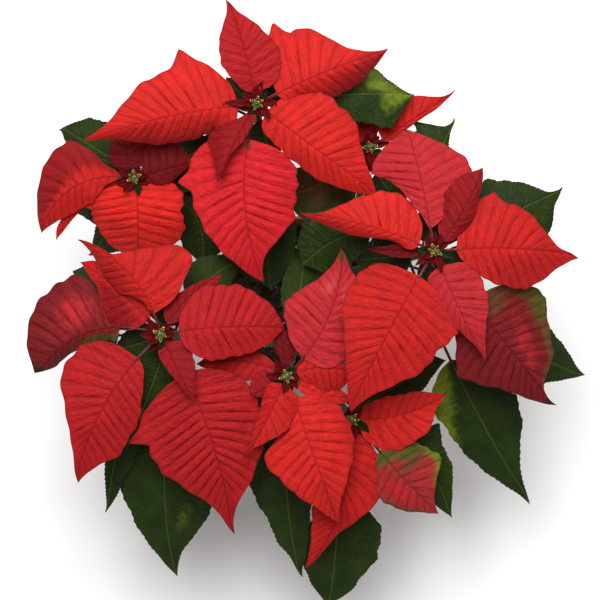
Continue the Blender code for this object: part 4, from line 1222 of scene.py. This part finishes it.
def make_cluster(head, master, number):
    """Cups in a ring round a middle one, each leaning outwards with its gland outside."""
    centre = Vector(HEADS[head])
    cups = []
    for k in range(CUPS_IN_RING + 1):
        in_ring = k < CUPS_IN_RING
        turn = 2 * math.pi * k / CUPS_IN_RING + 0.4 + number + 0.35 * math.sin(5 * k + number)
        out = Vector((math.cos(turn), math.sin(turn), 0)) * (CUP_RING if in_ring else 0.0)
        size = 0.78 + 0.2 * math.sin(3.1 * k + number)
        cup = copied(master)
        lean = Matrix.Rotation(CUP_LEAN if in_ring else MIDDLE_LEAN, 4, "Y")
        rise = Vector((0, 0, CUP_RISE if in_ring else MIDDLE_RISE))
        place = Matrix.Translation((centre + out + rise) * MM)
        cup.data.transform(place @ Matrix.Rotation(turn, 4, "Z") @ lean @ Matrix.Scale(size, 4))
        cups.append(cup)
    foot = ball("foot", tuple(centre + Vector((0, 0, 1.0))), 4.0, 14, 8, CUP_GREEN, (1, 1, 0.4))
    seat(joined(f"{head}_flower_cups", cups + [foot]), "cyathia_green", f"cyathia_{head}")


master_cup = flower_cup()
for number, head in enumerate(HEADS):
    make_cluster(head, master_cup, number)
bpy.data.objects.remove(master_cup)

# %% [markdown]
# ## Pot and soil
#
# The bracts hide the pot from above, so this is the plain terracotta-coloured pot that such a plant is
# sold in. Its wall's outline is one edge line, spun round the axis, as a potter or a mould would turn it.

# %% Spin the pot
POT_PROFILE = (
    (0.0, 0.0), (50.5, 0.0), (52.0, 1.5), (68.0, 106.0), (72.0, 106.0), (73.5, 107.5), (75.0, 128.5),
    (73.5, 130.0), (72.4, 130.0), (70.9, 128.5), (68.4, 110.0), (65.4, 106.0), (50.0, 4.0), (0.0, 4.0),
)
POT_STEPS = 112
TERRACOTTA = ((0.36, 0.115, 0.055), (0.46, 0.165, 0.085))
LIME_DUST = (0.55, 0.42, 0.34)


def pot_material():
    """Moulded plastic: a faint grain, fine turning lines, and dusty lime marks near the rim and the foot."""
    made, tree, shader = new_material("pot_plastic")
    place = tree.nodes.new("ShaderNodeTexCoord").outputs["Object"]
    up = fed_node(tree, "ShaderNodeSeparateXYZ", place)["Z"]
    noise = fed_node(tree, "ShaderNodeTexNoise", place, Scale=70.0, Detail=6.0)["Fac"]
    grain = fed_node(tree, "ShaderNodeTexNoise", place, Scale=1400.0, Detail=2.0)["Fac"]
    colour = mix_colours(tree, ramp(tree, noise, 0.3, 0.7), *TERRACOTTA)
    near_ends = math_node(tree, "MAXIMUM", ramp(tree, up, 0.098, 0.13), ramp(tree, up, 0.0, 0.022, 1.0, 0.0))
    dust = math_node(tree, "MULTIPLY", near_ends, ramp(tree, noise, 0.5, 0.72))
    colour = mix_colours(tree, math_node(tree, "MULTIPLY", dust, 0.45), colour, LIME_DUST)
    turning = math_node(tree, "SINE", math_node(tree, "MULTIPLY", up, 5200.0))
    height = math_node(tree, "ADD", math_node(tree, "MULTIPLY", turning, 0.25), grain)
    dress(tree, shader, colour, ramp(tree, noise, 0.3, 0.7, 0.46, 0.66), height, 0.25, 0.0003)
    return made


def spun_pot():
    """The pot's wall, spun from its outline; the doubles on the seam and on the axis are merged."""
    pot = started("plain_pot", bpy.ops.mesh.primitive_circle_add, vertices=len(POT_PROFILE), radius=0.01)
    for vertex, (radius, height) in zip(pot.data.vertices, POT_PROFILE):
        vertex.co = (radius * MM, 0, height * MM)
    bpy.ops.object.mode_set(mode="EDIT")
    bpy.ops.mesh.select_all(action="SELECT")
    bpy.ops.mesh.spin(steps=POT_STEPS, angle=2 * math.pi, center=(0, 0, 0), axis=(0, 0, 1))
    bpy.ops.mesh.select_all(action="SELECT")
    bpy.ops.mesh.remove_doubles(threshold=0.05 * MM)
    bpy.ops.mesh.dissolve_degenerate(threshold=0.01 * MM)
    bpy.ops.mesh.select_all(action="SELECT")
    bpy.ops.mesh.normals_make_consistent(inside=False)
    bpy.ops.object.mode_set(mode="OBJECT")
    return pot


pot = spun_pot()
print("pot faces after the spin:", len(pot.data.polygons))

# %% [markdown]
# The drain holes are cut with five short rods and Boolean modifiers. A little bevel softens the rim.

# %% Drain holes and rim
DRAIN_CIRCLE = 34.0
DRAIN_RADIUS = 5.0
DRAINS = 5
EDGE_SOFTNESS = 0.5

for k in range(DRAINS):
    turn = 2 * math.pi * k / DRAINS
    cutter = started(
        "cutter", bpy.ops.mesh.primitive_cylinder_add, vertices=28, radius=DRAIN_RADIUS * MM, depth=0.02,
        location=(DRAIN_CIRCLE * MM * math.cos(turn), DRAIN_CIRCLE * MM * math.sin(turn), 0.002),
    )
    bpy.context.view_layer.objects.active = pot
    hole = pot.modifiers.new("drain", "BOOLEAN")
    hole.operation = "DIFFERENCE"
    hole.object = cutter
    bpy.ops.object.modifier_apply(modifier=hole.name)
    bpy.data.objects.remove(cutter)
rim = pot.modifiers.new("soft_edges", "BEVEL")
rim.width = EDGE_SOFTNESS * MM
rim.segments = 2
rim.limit_method = "ANGLE"
rim.angle_limit = math.radians(35)
bpy.ops.object.modifier_apply(modifier=rim.name)
pot.data.materials.append(pot_material())
seat(pot, "pot_plastic", "pot")

# %% [markdown]
# Potting soil is dark, damp peat with crumbs on top and a few white grains of perlite. Its body starts
# as a cylinder. The top face is inset ring by ring and lifted into a low lumpy crown, and the foot is
# narrowed to the floor of the pot.

# %% Soil
SOIL_EDGE = 64.4
SOIL_TOP = 110.0
SOIL_CROWN = 4.0
SOIL_RINGS = 18
LUMP_HEIGHT = 0.9
SOIL_FOOT = (49.0, 4.4)


def soil_material(name, dark, pale, roughness):
    """A rough crumbly surface that a noise varies between two colours."""
    made, tree, shader = new_material(name)
    place = tree.nodes.new("ShaderNodeTexCoord").outputs["Object"]
    noise = fed_node(tree, "ShaderNodeTexNoise", place, Scale=260.0, Detail=8.0)["Fac"]
    colour = mix_colours(tree, ramp(tree, noise, 0.38, 0.66), dark, pale)
    rough = ramp(tree, noise, 0.3, 0.7, roughness - 0.08, roughness)
    dress(tree, shader, colour, rough, noise, 0.9, 0.001)
    return made


PEAT = soil_material("damp_peat", (0.012, 0.008, 0.005), (0.055, 0.033, 0.018), 0.98)
PERLITE_WHITE = soil_material("perlite", (0.55, 0.54, 0.50), (0.82, 0.81, 0.77), 0.9)


def soil_height(x, y):
    """Height of the soil's top at a place, in millimetres: a low crown with lumps."""
    r = np.hypot(x, y)
    crown = SOIL_CROWN * np.cos(np.clip(r / SOIL_EDGE, 0, 1) * math.pi / 2)
    lumps = np.sin(0.31 * x + 1.3) * np.sin(0.27 * y)
    lumps = lumps + 0.6 * np.sin(0.63 * x - 0.4 * y) * np.sin(0.55 * y + 2)
    return SOIL_TOP + crown + LUMP_HEIGHT * lumps * np.clip(1.15 - r / SOIL_EDGE, 0, 1)


def soil_body():
    """A cylinder whose top is inset ring by ring, for the lumps, and whose foot fits the pot's floor."""
    cylinder = bpy.ops.mesh.primitive_cylinder_add
    soil = started("potting_soil", cylinder, vertices=96, radius=SOIL_EDGE * MM, depth=0.1)
    edit_faces(soil, lambda face: face.normal.z > 0.9)
    for ring in range(SOIL_RINGS):
        bpy.ops.mesh.inset(thickness=SOIL_EDGE * MM / (SOIL_RINGS + 1))
    bpy.ops.object.mode_set(mode="OBJECT")
    foot_radius, foot_height = SOIL_FOOT
    for vertex in soil.data.vertices:
        x, y, z = vertex.co
        if z > 0:
            vertex.co.z = float(soil_height(x / MM, y / MM)) * MM
        else:
            shrink = foot_radius / SOIL_EDGE
            vertex.co = (x * shrink, y * shrink, foot_height * MM)
    soil.data.materials.append(PEAT)
    return soil


seat(soil_body(), "soil", "soil")



# %% [markdown]
# Crumbs and grains are copies of one rough ball of a few faces, each pushed out of round, turned and
# flattened by seeded random numbers, so the plant is the same each time.

# %% Crumbs of peat and grains of perlite
CRUMBS = 620
PERLITE = 46
RIM_GAP = 2.5


def crumbs(name, count, low, high, finish, seed):
    """Small lumps on the soil, from low to high millimetres in radius."""
    rng = np.random.default_rng(seed)
    seed_ball = started("crumb", bpy.ops.mesh.primitive_ico_sphere_add, subdivisions=1, radius=1.0)
    made = []
    for k in range(count):
        r = (SOIL_EDGE - RIM_GAP) * math.sqrt(rng.random())
        turn = rng.random() * 2 * math.pi
        x, y = r * math.cos(turn), r * math.sin(turn)
        size = low + (high - low) * rng.random() ** 2
        lump = copied(seed_ball)
        for vertex in lump.data.vertices:
            vertex.co *= 0.75 + 0.5 * rng.random()
        spot = Vector((x, y, float(soil_height(x, y)) + size * 0.25)) * MM
        lean = Euler(rng.random(3) * 6).to_matrix().to_4x4()
        flat = Matrix.Diagonal((size * MM, size * MM * 0.8, size * MM * 0.6, 1.0))
        lump.data.transform(Matrix.Translation(spot) @ lean @ flat)
        made.append(lump)
    bpy.data.objects.remove(seed_ball)
    return joined(name, made, finish)


seat(crumbs("soil_crumbs", CRUMBS, 0.7, 3.2, PEAT, 11), "soil")
seat(crumbs("perlite_grains", PERLITE, 0.8, 2.0, PERLITE_WHITE, 12), "soil")
